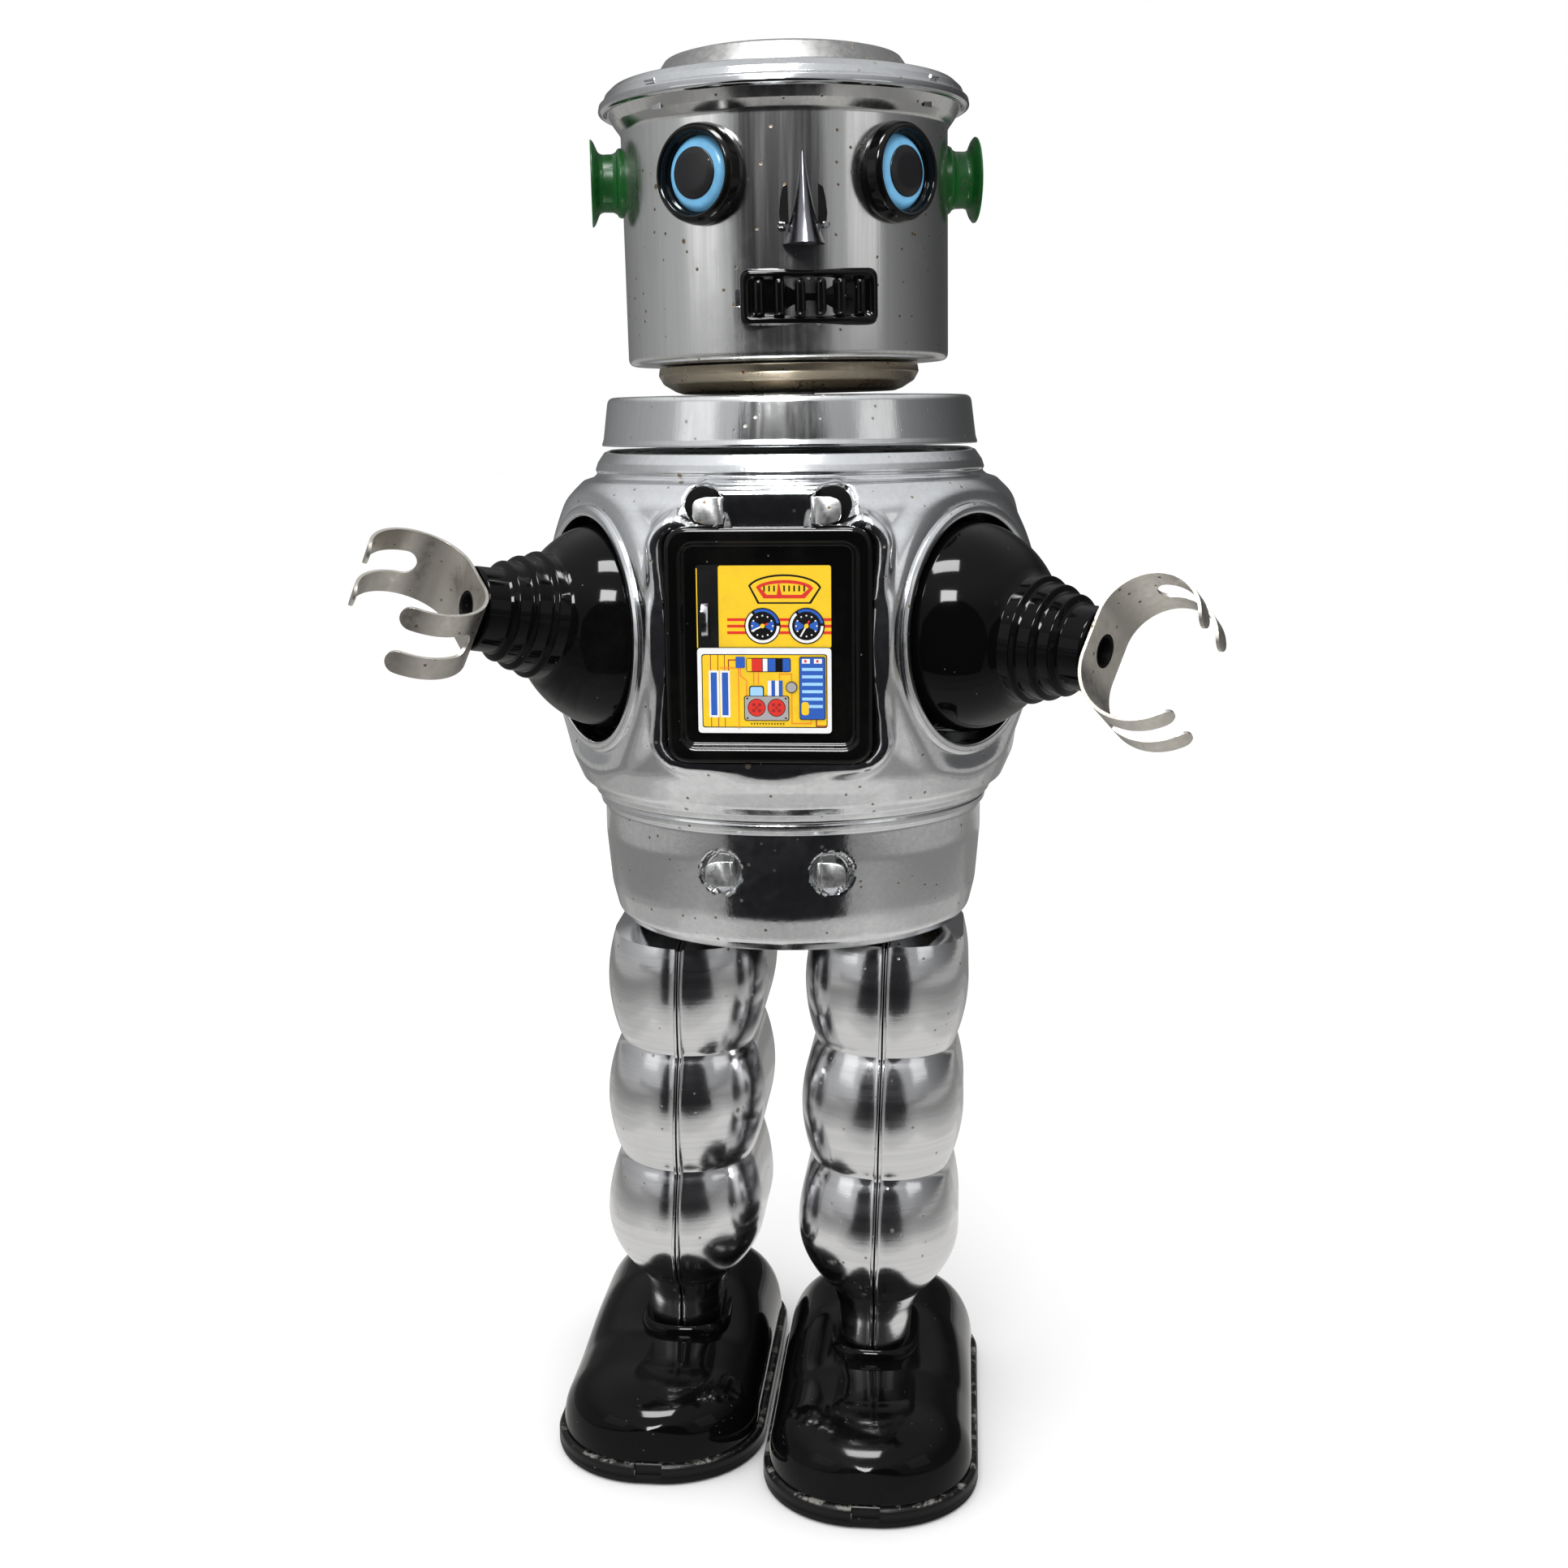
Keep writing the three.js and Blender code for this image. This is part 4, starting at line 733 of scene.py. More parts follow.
def build_lid():
    brim = [
        (20.4, 228.0, 0), (20.6, 227.3, 0.3), (22, 227.2, 1), (27.4, 226.3, 1.2), (28.6, 225.2, 0.6),
        (29.0, 224.2, 0.3), (29.6, 223.8, 0.4), (29.8, 222.7, 0.5), (29.0, 222.2, 0.4), (28.3, 222.9, 0.3),
        (27.2, 223.6, 0.5), (26.9, 225.2, 0.8), (20.4, 226.2, 0),
    ]
    ring = lathe("lid_brim", brim, LID_CHROME, NECK, 192, 6)
    settle(ring, "head", "chrome", "head_lid")
    cap = [
        (0, 230.6, 0), (17.6, 230.75, 1.2), (18.9, 230.4, 0.8), (20.8, 227.6, 0.8), (20.8, 226.6, 0.2),
        (20.0, 226.6, 0), (18.2, 229.4, 1), (0, 229.9, 0),
    ]
    settle(lathe("lid_cap", cap, CAP_TIN, NECK, 160, 6), "head", "chrome")
    fold = [(0, 0, 0), (0.5, 0, 0.2), (0.6, 3.4, 0.3), (-1.2, 4.5, 0.4), (-1.5, 4.1, 0.3), (0.1, 3.1, 0.3)]
    tab = placed(prism(rounded(fold, 3, closed=True), 2.0, 0.15), FROM_SIDE)
    for number, angle in enumerate((-54, 43, 126, 223)):
        place = NECK @ turn(angle, "Z") @ move(1.0, -27.6, 220.6)
        obj = mesh_object(f"lid_tab_{number}", *tab, LID_CHROME, place)
        settle(obj, "head", "chrome")


def build_neck_cup():
    points = [
        (POST_R, 178.6, 0), (17.4, 178.6, 0.6), (18.6, 179.0, 0.8), (20.6, 180.2, 1.2), (21.4, 181.6, 0.8),
        (21.2, 182.9, 0.3), (20.4, 182.9, 0), (20.0, 181.0, 0.6), (17.8, 179.6, 0.6), (POST_R, 179.3, 0),
    ]
    settle(lathe("neck_dish", points, CUP_TIN, NECK, 160, 6), "head", "bright_tin", "neck_cup")


def build_eyes():
    ring = [
        (4.8, -1.2, 0), (5.4, 0.4, 0.3), (5.6, 1.7, 0.2), (5.95, 2.0, 0.2), (6.05, 2.9, 0.3), (6.5, 3.2, 0.5),
        (7.15, 2.6, 0.9), (7.45, 1.0, 0.6), (7.4, 0.25, 0.2), (7.0, -0.9, 0.2), (6.2, -1.2, 0),
    ]
    iris = [(0, 3.05, 0), (2.7, 2.8, 3), (4.8, 2.0, 1.5), (5.55, 1.0, 0.4), (5.4, 0.4, 0.1), (0, 0.4, 0)]
    pupil = [(0, 3.15, 0), (2.6, 2.95, 3), (3.75, 2.60, 0.25), (3.8, 2.4, 0.05), (0, 2.0, 0)]
    for side, sign in SIDES.items():
        place = NECK @ Matrix.Translation(on_can(math.radians(sign * EYE["angle"]) * HEAD["r"], EYE["z"]))
        place = place @ turn(sign * (EYE["angle"] + EYE["turn"]), "Z") @ TO_FRONT
        socket = lathe(f"eye_socket_{side}", ring, BLACK_ENAMEL, place, 96, 6)
        settle(socket, "head", "black_enamel", f"eye_ring_{side}")
        settle(lathe(f"iris_{side}", iris, IRIS_BLUE, place, 72, 7), "head", "iris_blue", f"eye_{side}")
        settle(lathe(f"pupil_{side}", pupil, PUPIL_BLACK, place, 72, 7), "head", "iris_blue")


def build_nose():
    """A hollow cone that widens downwards, with a near-black patch as painted shade of a slit and a bent tab
    on each side of it.
    """
    bottom, top = NOSE["bottom_z"], NOSE["top_z"]
    rows, across = 28, 24
    loops = []
    for i in range(rows + 1):
        t = i / rows
        z = top - t * (top - bottom)
        half = 0.10 + NOSE["half_width"] * (0.72 * t + 0.28 * t ** 4)
        stand = 0.12 + NOSE["stand"] * (0.66 * t + 0.34 * t ** 4)
        loop = []
        for k in range(across + 1):
            a = math.pi * k / across
            keel = 1 - 0.14 * abs(math.cos(a)) * (1 - abs(math.cos(a)))
            loop.append((half * math.cos(a) * keel, -(HEAD["r"] - 0.3 + stand * math.sin(a) * keel), z))
        loop.append((0, -(HEAD["r"] - 0.9), z))
        loops.append(loop)
    hollow = [
        [(x * share, (y + HEAD["r"]) * share - HEAD["r"] + 0.1, bottom + rise) for x, y, _ in loops[-1]]
        for share, rise in ((0.72, 0.15), (0.62, 3.2))
    ]
    cone = mesh_object("nose_cone", *lofted(loops + hollow), GUNMETAL, NECK, sharp=40)
    settle(cone, "head", "gunmetal", "nose")
    # Each slit is a thin near-black patch on the can: painted shade standing for the dark opening.
    slit_outline = ((-0.9, -2.6), (0.7, -2.9), (1.0, -1.2), (0.7, 1.0), (0.2, 2.6), (-0.8, 3.0))
    for side, sign in SIDES.items():
        outline = [Vector(p) for p in slit_outline]
        steps = ((outline, 0), (inset(outline, 0.12), 0.22))
        loops = [[on_can(sign * (2.9 + p.x * 0.75), 205.6 + p.y, rise) for p in line] for line, rise in steps]
        slit = mesh_object(f"nose_slit_shade_{side}", *lofted(loops), PAINTED_SHADE, NECK)
        settle(slit, "head", "gunmetal")
        tab = rounded_rectangle(1.1, 0.9, 0.3, 4)
        settle(bent_tab(f"nose_tab_{side}", tab, sign * 3.3, 202.7, 0.6, 0.2), "head", "gunmetal")


def build_mouth():
    width, height, z = MOUTH["width"], MOUTH["height"], MOUTH["z"]
    steps = [
        (0, -0.4), (0, 0.9), (0.18, 1.3), (0.5, 1.55), (0.9, 1.6), (1.2, 1.45), (1.4, 1.0), (1.7, 0.75),
        (2.6, 0.75), (3.4, 0.75), (4.1, 0.75),
    ]
    loops = []
    for distance, rise in steps:
        corner = max(0.3, 1.5 - distance * 0.4)
        outline = rounded_rectangle(width - 2 * distance, height - 2 * distance, corner, 5)
        loops.append([on_can(MOUTH["x"] + p.x, z + p.y, rise) for p in outline])
    plate = lofted(loops)
    ribs = []
    for i in range(MOUTH["ribs"]):
        x = MOUTH["x"] + (i - (MOUTH["ribs"] - 1) / 2) * (width - 5.6) / (MOUTH["ribs"] - 1)
        rib_loops = []
        for distance, rise in ((0, 0.6), (0.1, 1.1), (0.32, 1.5), (0.62, 1.65)):
            outline = rounded_rectangle(1.7 - 2 * distance, 5.5 - 2 * distance, 0.85 - distance, 5)
            rib_loops.append([on_can(x + p.x, z + p.y, rise) for p in outline])
        ribs.append(lofted(rib_loops))
    obj = mesh_object("mouth_grille", *merged(plate, *ribs), BLACK_ENAMEL, NECK, sharp=45)
    settle(obj, "head", "black_enamel", "mouth")
    tab = rounded_rectangle(1.0, 2.6, 0.3, 3)
    settle(bent_tab("mouth_tab", tab, MOUTH["x"] - width / 2 - 0.45, z, 0.5, 0.15), "head", "black_enamel")


def build_ears():
    spool = [
        (0, 25.2, 0), (5.2, 25.2, 0), (5.4, 26.6, 0.3), (5.2, 27.0, 0.3), (4.8, 27.2, 0.5), (4.5, 27.8, 0.6),
        (4.45, 29.4, 1), (4.7, 30.0, 0.8), (6.3, 30.7, 0.6), (6.75, 31.05, 0.12), (6.7, 31.3, 0.12),
        (6.0, 31.1, 0.5), (3.9, 30.4, 0.8), (3.5, 29.2, 0.5), (3.4, 27.6, 0.3), (0, 27.6, 0),
    ]
    for side, sign in SIDES.items():
        place = NECK @ move(0, 0, EAR_Z) @ turn(sign * 90, "Y")
        ear = lathe(f"ear_spool_{side}", spool, GREEN_PAINT, place, 80, 5)
        settle(ear, "head", "green_enamel", f"ear_{side}")


# ---------- chest panel ----------

def build_chest_frame():
    width, height, corner = FRAME["width"], FRAME["height"], FRAME["corner"]
    front, back = FRAME["front"], FRAME["back"]
    steps = [
        (0.1, back - 1.6), (0.0, front - 0.9), (0.12, front - 0.4), (0.45, front - 0.1), (0.9, front),
        (1.7, front), (2.2, front - 0.15), (2.55, front - 0.5), (2.75, front - 1.0), (3.2, front - 1.15),
    ]
    loops = []
    for distance, y in steps:
        radius = max(1.2, corner - distance * 0.6)
        outline = rounded_rectangle(width - 2 * distance, height - 2 * distance, radius, 9)
        loops.append([(p.x, -y, FRAME["z"] + p.y) for p in outline])
    obj = mesh_object("panel_frame", *lofted(loops), BLACK_ENAMEL, sharp=50)
    settle(obj, "body", "black_enamel", "chest_frame")


INKS = {
    "yellow": (0.78, 0.50, 0.008), "black": (0.004, 0.004, 0.004), "white": (0.72, 0.72, 0.72),
    "red": (0.62, 0.02, 0.01), "blue": (0.015, 0.09, 0.42), "light_blue": (0.30, 0.55, 0.85),
    "grey": (0.33, 0.32, 0.32), "orange": (0.80, 0.22, 0.02), "dark_red": (0.30, 0.012, 0.012),
}
UPPER_PANEL_H = STICKER["height"] - STICKER["lower_h"]


class Artwork:
    """Flat inked shapes laid over each other, in millimetres from an origin that can be moved."""

    INK_HEIGHT = 0.06
    LAYER = 0.003

    def __init__(self, left, bottom):
        self.verts, self.faces, self.inks = [], [], []
        self.level = 0
        self.origin = Vector((left, bottom))

    def add(self, outline, ink):
        self.level += 1
        base, count = len(self.verts), len(outline)
        top = self.INK_HEIGHT + self.level * self.LAYER
        area = sum(a.x * b.y - b.x * a.y for a, b in zip(outline, outline[1:] + outline[:1]))
        ordered = [p + self.origin for p in (outline if area > 0 else outline[::-1])]
        self.verts += [(p.x, p.y, 0) for p in ordered] + [(p.x, p.y, top) for p in ordered]
        faces = [[base + k for k in reversed(range(count))], [base + count + k for k in range(count)]]
        for k in range(count):
            n = (k + 1) % count
            faces.append([base + k, base + n, base + count + n, base + count + k])
        self.faces += faces
        self.inks += [list(INKS).index(ink)] * len(faces)

    def box(self, x0, y0, x1, y1, ink, radius=0.0):
        centre = Vector(((x0 + x1) / 2, (y0 + y1) / 2))
        self.add([p + centre for p in rounded_rectangle(x1 - x0, y1 - y0, radius, 4)], ink)

    def disc(self, x, y, radius, ink, sides=40):
        self.add([on_circle(x, y, radius, 360 * k / sides) for k in range(sides)], ink)

    def arc(self, x, y, inner, outer, start, end, ink, steps=14):
        angles = [start + (end - start) * k / steps for k in range(steps + 1)]
        outside = [on_circle(x, y, outer, a) for a in angles]
        self.add(outside + [on_circle(x, y, inner, a) for a in reversed(angles)], ink)

    def line(self, points, width, ink):
        for a, b in zip(points, points[1:]):
            a, b = Vector(a), Vector(b)
            along = (b - a).normalized() * width / 2
            across = Vector((-along.y, along.x))
            self.add([a - along - across, b + along - across, b + along + across, a - along + across], ink)

    def build(self, name, matrix):
        world = TO_WORLD @ matrix
        inks = [printed(f"ink_{ink}", color) for ink, color in INKS.items()]
        obj = plain_object(name, [world @ Vector(v) for v in self.verts], self.faces, *inks)
        obj.data.polygons.foreach_set("material_index", self.inks)
        return obj


def draw_gauge(art, x, y):
    """A wide fan gauge with a row of marks and a pointer."""
    for width, top, bottom, foot, ink in ((5.6, 2.3, 2.1, 4.0, "black"), (5.25, 2.0, 1.85, 3.75, "yellow"),
                                          (4.4, 1.45, 1.3, 3.1, "red"), (3.7, 0.95, 0.75, 2.6, "yellow")):
        unit = [on_circle(0, 0, 1, degrees) for degrees in range(8, 173, 12)]
        fan = [Vector((x + width * p.x, y + top * p.y)) for p in unit]
        art.add(fan + [Vector((x - foot, y - bottom)), Vector((x + foot, y - bottom))], ink)
    for k in range(9):
        mark = x - 3.0 + k * 0.75
        art.box(mark - 0.12, y - 0.25, mark + 0.12, y + 0.62, "black")
    pointer = ((-0.9, 0.9), (-0.75, 0.9), (-0.35, -0.8), (-1.1, -0.8))
    art.add([Vector((x + dx, y + dy)) for dx, dy in pointer], "red")


def draw_dial(art, x, y, needle):
    """A round dial with hour dots, blue sectors and a two-colour needle."""
    art.disc(x, y, 2.72, "black")
    art.arc(x, y, 2.15, 2.55, 10, 120, "blue")
    art.arc(x, y, 2.15, 2.55, 130, 360, "white", 24)
    for start in (-28, 152):
        art.arc(x, y, 0.5, 1.75, start, start + 56, "blue")
    for hour in range(12):
        art.disc(*on_circle(x, y, 1.55, 30 * hour), 0.13, "white", 8)
    for degrees, length, ink in ((needle, 1.7, "white"), (needle + 180, 0.8, "red")):
        art.line([(x, y), on_circle(x, y, length, degrees)], 0.24, ink)
    art.disc(x, y, 0.34, "yellow", 16)


def draw_upper_panel(art, width, height):
    """A black strip painted where the lever's slot is, as painted shade of its opening, a fan gauge, and two
    dials with red stripes behind them.
    """
    strip = 3.3
    # The black strip is painted shade standing for the dark opening of the lever's slot.
    art.box(0, 0, strip, height, "black")
    art.box(-0.02, 0, 0.14, height - 0.4, "yellow")
    art.box(strip, 0, width, height, "yellow", 0.4)
    art.box(strip, 0, width - 1, height - 1.2, "yellow")
    draw_gauge(art, 13.2, height - 3.6)
    for k in range(3):
        level = height - 8.05 - k * 0.98
        art.box(4.6, level - 0.2, width, level + 0.2, "red")
    draw_dial(art, 9.9, height - 9.0, 205)
    draw_dial(art, 16.5, height - 9.0, 240)


def draw_board(art, width, height):
    """The lower half's black, white, black and yellow borders, one inside the other."""
    art.box(-0.1, -0.1, width + 0.1, height + 0.1, "black", 0.7)
    art.box(0, 0, width, height, "white", 0.6)
    art.box(0.62, 0.82, width - 0.62, height - 0.92, "black", 0.45)
    art.box(0.76, 0.96, width - 0.76, height - 1.06, "yellow", 0.4)


def draw_columns(art, height):
    """Two tall blue gauges with red lines behind them."""
    for x in (2.0, 3.1, 4.1):
        art.line([(x, height - 1.1), (x, 1.0)], 0.12, "dark_red")
    for x in (1.7, 3.4):
        art.box(x, 2.4, x + 1.5, height - 3.4, "white", 0.1)
        art.box(x + 0.28, 2.7, x + 1.22, height - 3.7, "blue")


def draw_wires(art, height):
    """Thin wires in right-angled runs. Their heights are measured down from the top."""
    wires = [
        ("dark_red", [(4.7, 3.3), (4.7, 1.8), (6.2, 1.8)]),
        ("orange", [(3.5, 3.0), (6.2, 3.0), (6.2, 12.2)]),
        ("orange", [(6.5, 2.6), (6.5, 4.2), (7.4, 4.9), (7.4, 7.4)]),
        ("orange", [(12.4, 4.6), (12.4, 3.9), (14.2, 3.9), (14.2, 4.9)]),
        ("orange", [(14.2, 6.9), (14.2, 11.4), (17.1, 11.4), (17.1, 10.4)]),
        ("orange", [(8.5, 3.6), (8.5, 5.4)]),
        ("orange", [(9.2, 3.6), (9.2, 5.4)]),
        ("dark_red", [(17.9, 10.4), (17.9, 11.8), (19.4, 11.8)]),
    ]
    for ink, wire in wires:
        art.line([(x, height - down) for x, down in wire], 0.16, ink)


def draw_switches(art, height):
    """A row of coloured switches along the top, and a lamp and a striped block under it."""
    art.box(7.4, height - 3.6, 14.1, height - 1.5, "black", 0.3)
    switches = ((7.5, 0.7, "yellow"), (8.2, 1.6, "red"), (9.9, 0.7, "white"), (10.7, 1.1, "blue"),
                (12.9, 1.1, "blue"))
    for x, width, ink in switches:
        art.box(x, height - 3.5, x + width, height - 1.6, ink)
    art.box(5.8, height - 3.0, 7.2, height - 1.3, "blue", 0.2)
    art.box(7.8, 5.5, 10.0, 7.2, "black", 0.4)
    art.box(7.95, 5.5, 9.85, 7.05, "light_blue", 0.35)
    stripe = 0.56
    for k, ink in enumerate(("white", "blue", "white", "blue")):
        art.box(10.6 + k * stripe, 5.5, 10.6 + (k + 1) * stripe, 8.0, ink)


def draw_reels(art, height):
    """Two red reels on a grey plate with corner screws and a row of dots below, and a knob beside it."""
    art.box(7.0, 1.9, 13.8, 5.7, "black", 0.4)
    art.box(7.12, 2.0, 13.68, 5.6, "grey", 0.35)
    y = 3.9
    for x in (8.9, 11.9):
        art.disc(x, y, 1.36, "black")
        art.disc(x, y, 1.26, "red")
        for k in range(4):
            art.disc(*on_circle(x, y, 0.62, 45 + 90 * k), 0.26, "dark_red", 14)
        art.disc(x, y, 0.2, "dark_red", 12)
    for x in (7.5, 13.3):
        for screw_y in (2.3, 5.3):
            art.disc(x, screw_y, 0.14, "black", 10)
    for k in range(12):
        art.disc(8.1 + k * 0.44, 1.45, 0.1, "black", 8)
    art.disc(14.2, height - 5.9, 0.86, "black")
    art.disc(14.2, height - 5.9, 0.74, "grey")


def draw_ladder(art, height):
    """A tall blue plate with two small windows, six pale rungs and a yellow button."""
    art.box(15.4, 2.1, 19.3, height - 1.3, "black", 0.3)
    art.box(15.5, 2.2, 19.2, height - 1.4, "blue", 0.3)
    for x in (15.8, 17.6):
        art.box(x, height - 2.3, x + 1.2, height - 1.6, "white")
        art.box(x + 0.35, height - 2.15, x + 0.7, height - 1.75, "red")
    for k in range(6):
        rung = height - 3.4 - k * 1.12
        art.box(15.8, rung, 18.9, rung + 0.45, "light_blue")
    art.box(15.7, 2.8, 16.8, 4.8, "yellow", 0.45)


def build_sticker():
    """The printed panel. Its pictures are generic and hold no lettering."""
    width, height, split = STICKER["width"], STICKER["height"], STICKER["lower_h"]
    art = Artwork(-width / 2, -height / 2)
    art.box(-0.1, -0.1, width + 0.1, height + 0.1, "black", 0.5)
    art.origin.y += split
    draw_upper_panel(art, width, UPPER_PANEL_H)
    art.origin.y -= split
    draw_board(art, width, split)
    for draw in (draw_columns, draw_wires, draw_switches, draw_reels, draw_ladder):
        draw(art, split)
    place = move(STICKER["x"], 1.1 - FRAME["front"], STICKER["z"]) @ TO_FRONT
    settle(art.build("panel_artwork", place), "body", "printed_tin", "control_panel")


def build_lever():
    """The hooked tip of the start lever, standing out of the panel's slot."""
    z = SLOT["z"] - 2.4
    corners = [
        (8.7, -1.2, 0), (8.7, 1.2, 0), (0.6, 1.2, 0), (0.1, 2.7, 1.0), (-0.9, 3.2, 1.2), (-2.2, 1.9, 1.8),
        (-2.5, -0.3, 1.8), (-1.9, -2.0, 1.6), (-0.7, -2.7, 1.2), (0.8, -2.2, 0.8), (1.4, -1.2, 0.4),
    ]
    thickness = 1.1
    hook = list(reversed(rounded(corners, 5, closed=True)))
    slab = placed(prism(hook, thickness, 0.3), move(-thickness / 2, 0, 0) @ FROM_SIDE)
    place = move(SLOT["x"] - 0.2, -(FRAME["front"] - 2.4), z)
    settle(mesh_object("lever_tip", *slab, LID_CHROME, place), "start_lever", "nickel", "start_lever")


# ---------- arms ----------

def build_arms():
    """Each arm is a hollow dome in its hole, with a stack of ever smaller rings out to the claw."""
    rings = [
        (9.9, 14.1, 0.3), (9.95, 16.1, 0.35), (9.1, 16.5, 0.25), (8.95, 16.9, 0.2), (8.95, 19.0, 0.4),
        (8.0, 19.4, 0.25), (7.85, 19.8, 0.2), (7.85, 21.7, 0.4), (6.8, 22.2, 0.25), (6.55, 22.6, 0.2),
        (6.5, 26.2, 0.4), (2.4, 26.45, 0.1), (2.2, 22, 0), (0, 22, 0),
    ]
    dome = range(-10, 54, 3)
    outside = [(*on_circle(0, 0, DOME_R, degrees), 0) for degrees in dome]
    inside = [(*on_circle(0, 0, DOME_R - DOME_WALL, degrees), 0) for degrees in dome]
    for side in ARM:
        points = [(0, 19, 0), (6, 18, 0), *reversed(inside), *outside, *rings]
        obj = lathe(f"arm_{side}", points, BLACK_PLASTIC, arm_matrix(side) @ TO_SIDE, 128, 5)
        settle(obj, f"{side}_arm", "black_plastic", f"shoulder_{side}")
        build_claw(side)


def fork_half(length, slot, direction):
    """One end of the claw's flat blank, from its +v edge round both prongs to its -v edge."""
    half = CLAW["width"] / 2
    prong = CLAW["prong"] / 2
    gap = half - 2 * prong
    tip = [on_circle(length - prong, half - prong, prong, 90 - a) for a in range(0, 181, 15)]
    notch = [on_circle(slot, 0, gap, 90 + a) for a in range(0, 181, 20)]
    other_tip = [Vector((p.x, p.y - 2 * (half - prong))) for p in tip]
    return [Vector((p.x * direction, p.y)) for p in tip + notch + other_tip]


def cut(obj, cutter, operation):
    """Applies a boolean of two closed meshes and removes the cutter."""
    modifier = obj.modifiers.new("cut", "BOOLEAN")
    modifier.object = cutter
    modifier.operation = operation
    modifier.solver = "EXACT"
    bpy.context.view_layer.update()
    mesh = bpy.data.meshes.new_from_object(obj.evaluated_get(bpy.context.evaluated_depsgraph_get()))
    obj.modifiers.clear()
    obj.data = mesh
    bpy.data.objects.remove(cutter)


def claw_curves(curl):
    """The upper and lower arms of the claw's bend in its own plane, both from the palm hole."""
    def arc(x, y, radius, end, steps=60):
        return [on_circle(x, y, radius, 180 + (end - 180) * k / steps) for k in range(steps + 1)]
    upper = arc(8, 3.6, 8, 8)
    lower = arc(9.4, -2.6, 9.4, curl)
    return [Vector((0, 0)), *upper], [Vector((0, 0)), *lower]


def along_curve(curve, distance):
    """The point and direction at a distance along a polyline."""
    for a, b in zip(curve, curve[1:]):
        span = (b - a).length
        if distance <= span or b is curve[-1]:
            return a + (b - a) * (distance / span), (b - a).normalized()
        distance -= span
    return curve[-1], Vector((1, 0))


def curve_length(curve):
    return sum((b - a).length for a, b in zip(curve, curve[1:]))


def claw_blank(up, down):
    """The claw's flat strip with its forks and palm hole, cut into short lengths so that it can be bent."""
    outline = fork_half(up, up - CLAW["upper_fork"], 1) + fork_half(down, down - CLAW["lower_fork"], -1)[::-1]
    half = CLAW["tin"] / 2
    section = ((-7, -half), (7, -half), (7, half), (-7, half))
    stations = [s * 0.5 for s in range(int(-down * 2) - 2, int(up * 2) + 3)]
    blank = plain_object("claw_blank", *lofted([[(s, v, t) for v, t in section] for s in stations]))
    sheet = lofted([[(p.x, p.y, z) for p in outline] for z in (-2, 2)])
    hole = revolved([(0, -2), (CLAW["hole_r"], -2), (CLAW["hole_r"], 2), (0, 2)], 32)
    for shape, operation in ((sheet, "INTERSECT"), (hole, "DIFFERENCE")):
        cutter = plain_object("cutter", *shape)
        face_outwards(cutter.data)
        cut(blank, cutter, operation)
    return blank


def build_claw(side):
    """A C-shaped claw bent from a forked strip, with a hollow rivet through its palm in near-black painted
    shade.
    """
    arm = ARM[side]
    upper, lower = claw_curves(arm["curl"])
    blank = claw_blank(curve_length(upper), curve_length(lower))
    bent = []
    for vertex in blank.data.vertices:
        s, v, t = vertex.co
        point, direction = along_curve(upper if s >= 0 else lower, abs(s))
        outward = Vector((-direction.y, direction.x)) * (1 if s >= 0 else -1)
        spot = point + outward * t
        bent.append((spot.x, -v, spot.y))
    faces = [list(p.vertices) for p in blank.data.polygons]
    bpy.data.objects.remove(blank)
    palm = arm_matrix(side) @ move(PALM_REACH, 0, 0)
    obj = mesh_object(f"claw_strip_{side}", bent, faces, NICKEL, palm @ turn(arm["roll"], "X"), sharp=40)
    edge = obj.modifiers.new("edge", "BEVEL")
    edge.width = CLAW["bevel"] * MM
    edge.segments = 2
    edge.limit_method = "ANGLE"
    edge.angle_limit = math.radians(50)
    settle(obj, f"{side}_claw", "nickel", f"claw_{side}")
    # The hollow rivet is coloured near-black all over: painted shade, so that the palm hole reads as a dark
    # hole.
    rivet = [
        (1.5, -3.2, 0), (2.2, -3.2, 0), (2.3, -0.4, 0.1), (2.45, 0.15, 0.2), (2.3, 0.3, 0.2),
        (2.05, 0.0, 0.3), (1.9, -1.6, 0.3), (1.6, -2.4, 0.3),
    ]
    ring = lathe(f"claw_rivet_{side}", rivet, PAINTED_SHADE, palm @ TO_SIDE, 40, 4)
    settle(ring, f"{side}_arm", "nickel", f"claw_eyelet_{side}")


# ---------- legs ----------

def leg_profile():
    """(radius, z) down the leg: three round lobes with tight creases between them."""
    levels = (LEG["ankle_z"], *LEG["pinch_z"], LEG["top_z"])
    ankle = [(6.3, 12.0), (6.3, 20.0), (6.6, 22.0), (7.6, 24.4)]
    steps = 22
    crease = 0.02
    lobes = []
    for bottom, top in zip(levels, levels[1:]):
        for k in range(steps + 1):
            t = k / steps
            if top == LEG["top_z"] and t > 0.9:
                break
            start = LEG["ankle_r"] if bottom == LEG["ankle_z"] and t < 0.5 else LEG["pinch_r"]
            radius = start + (LEG["lobe_r"] - start) * math.sin(t * math.pi) ** 0.78
            lobes.append((radius, bottom + crease + t * (top - bottom - 2 * crease)))
    hip = [(9.2, LEG["top_z"] - 1.9), (6.0, LEG["top_z"] - 0.7), (5.6, LEG["top_z"] + 2)]
    return ankle + lobes + hip


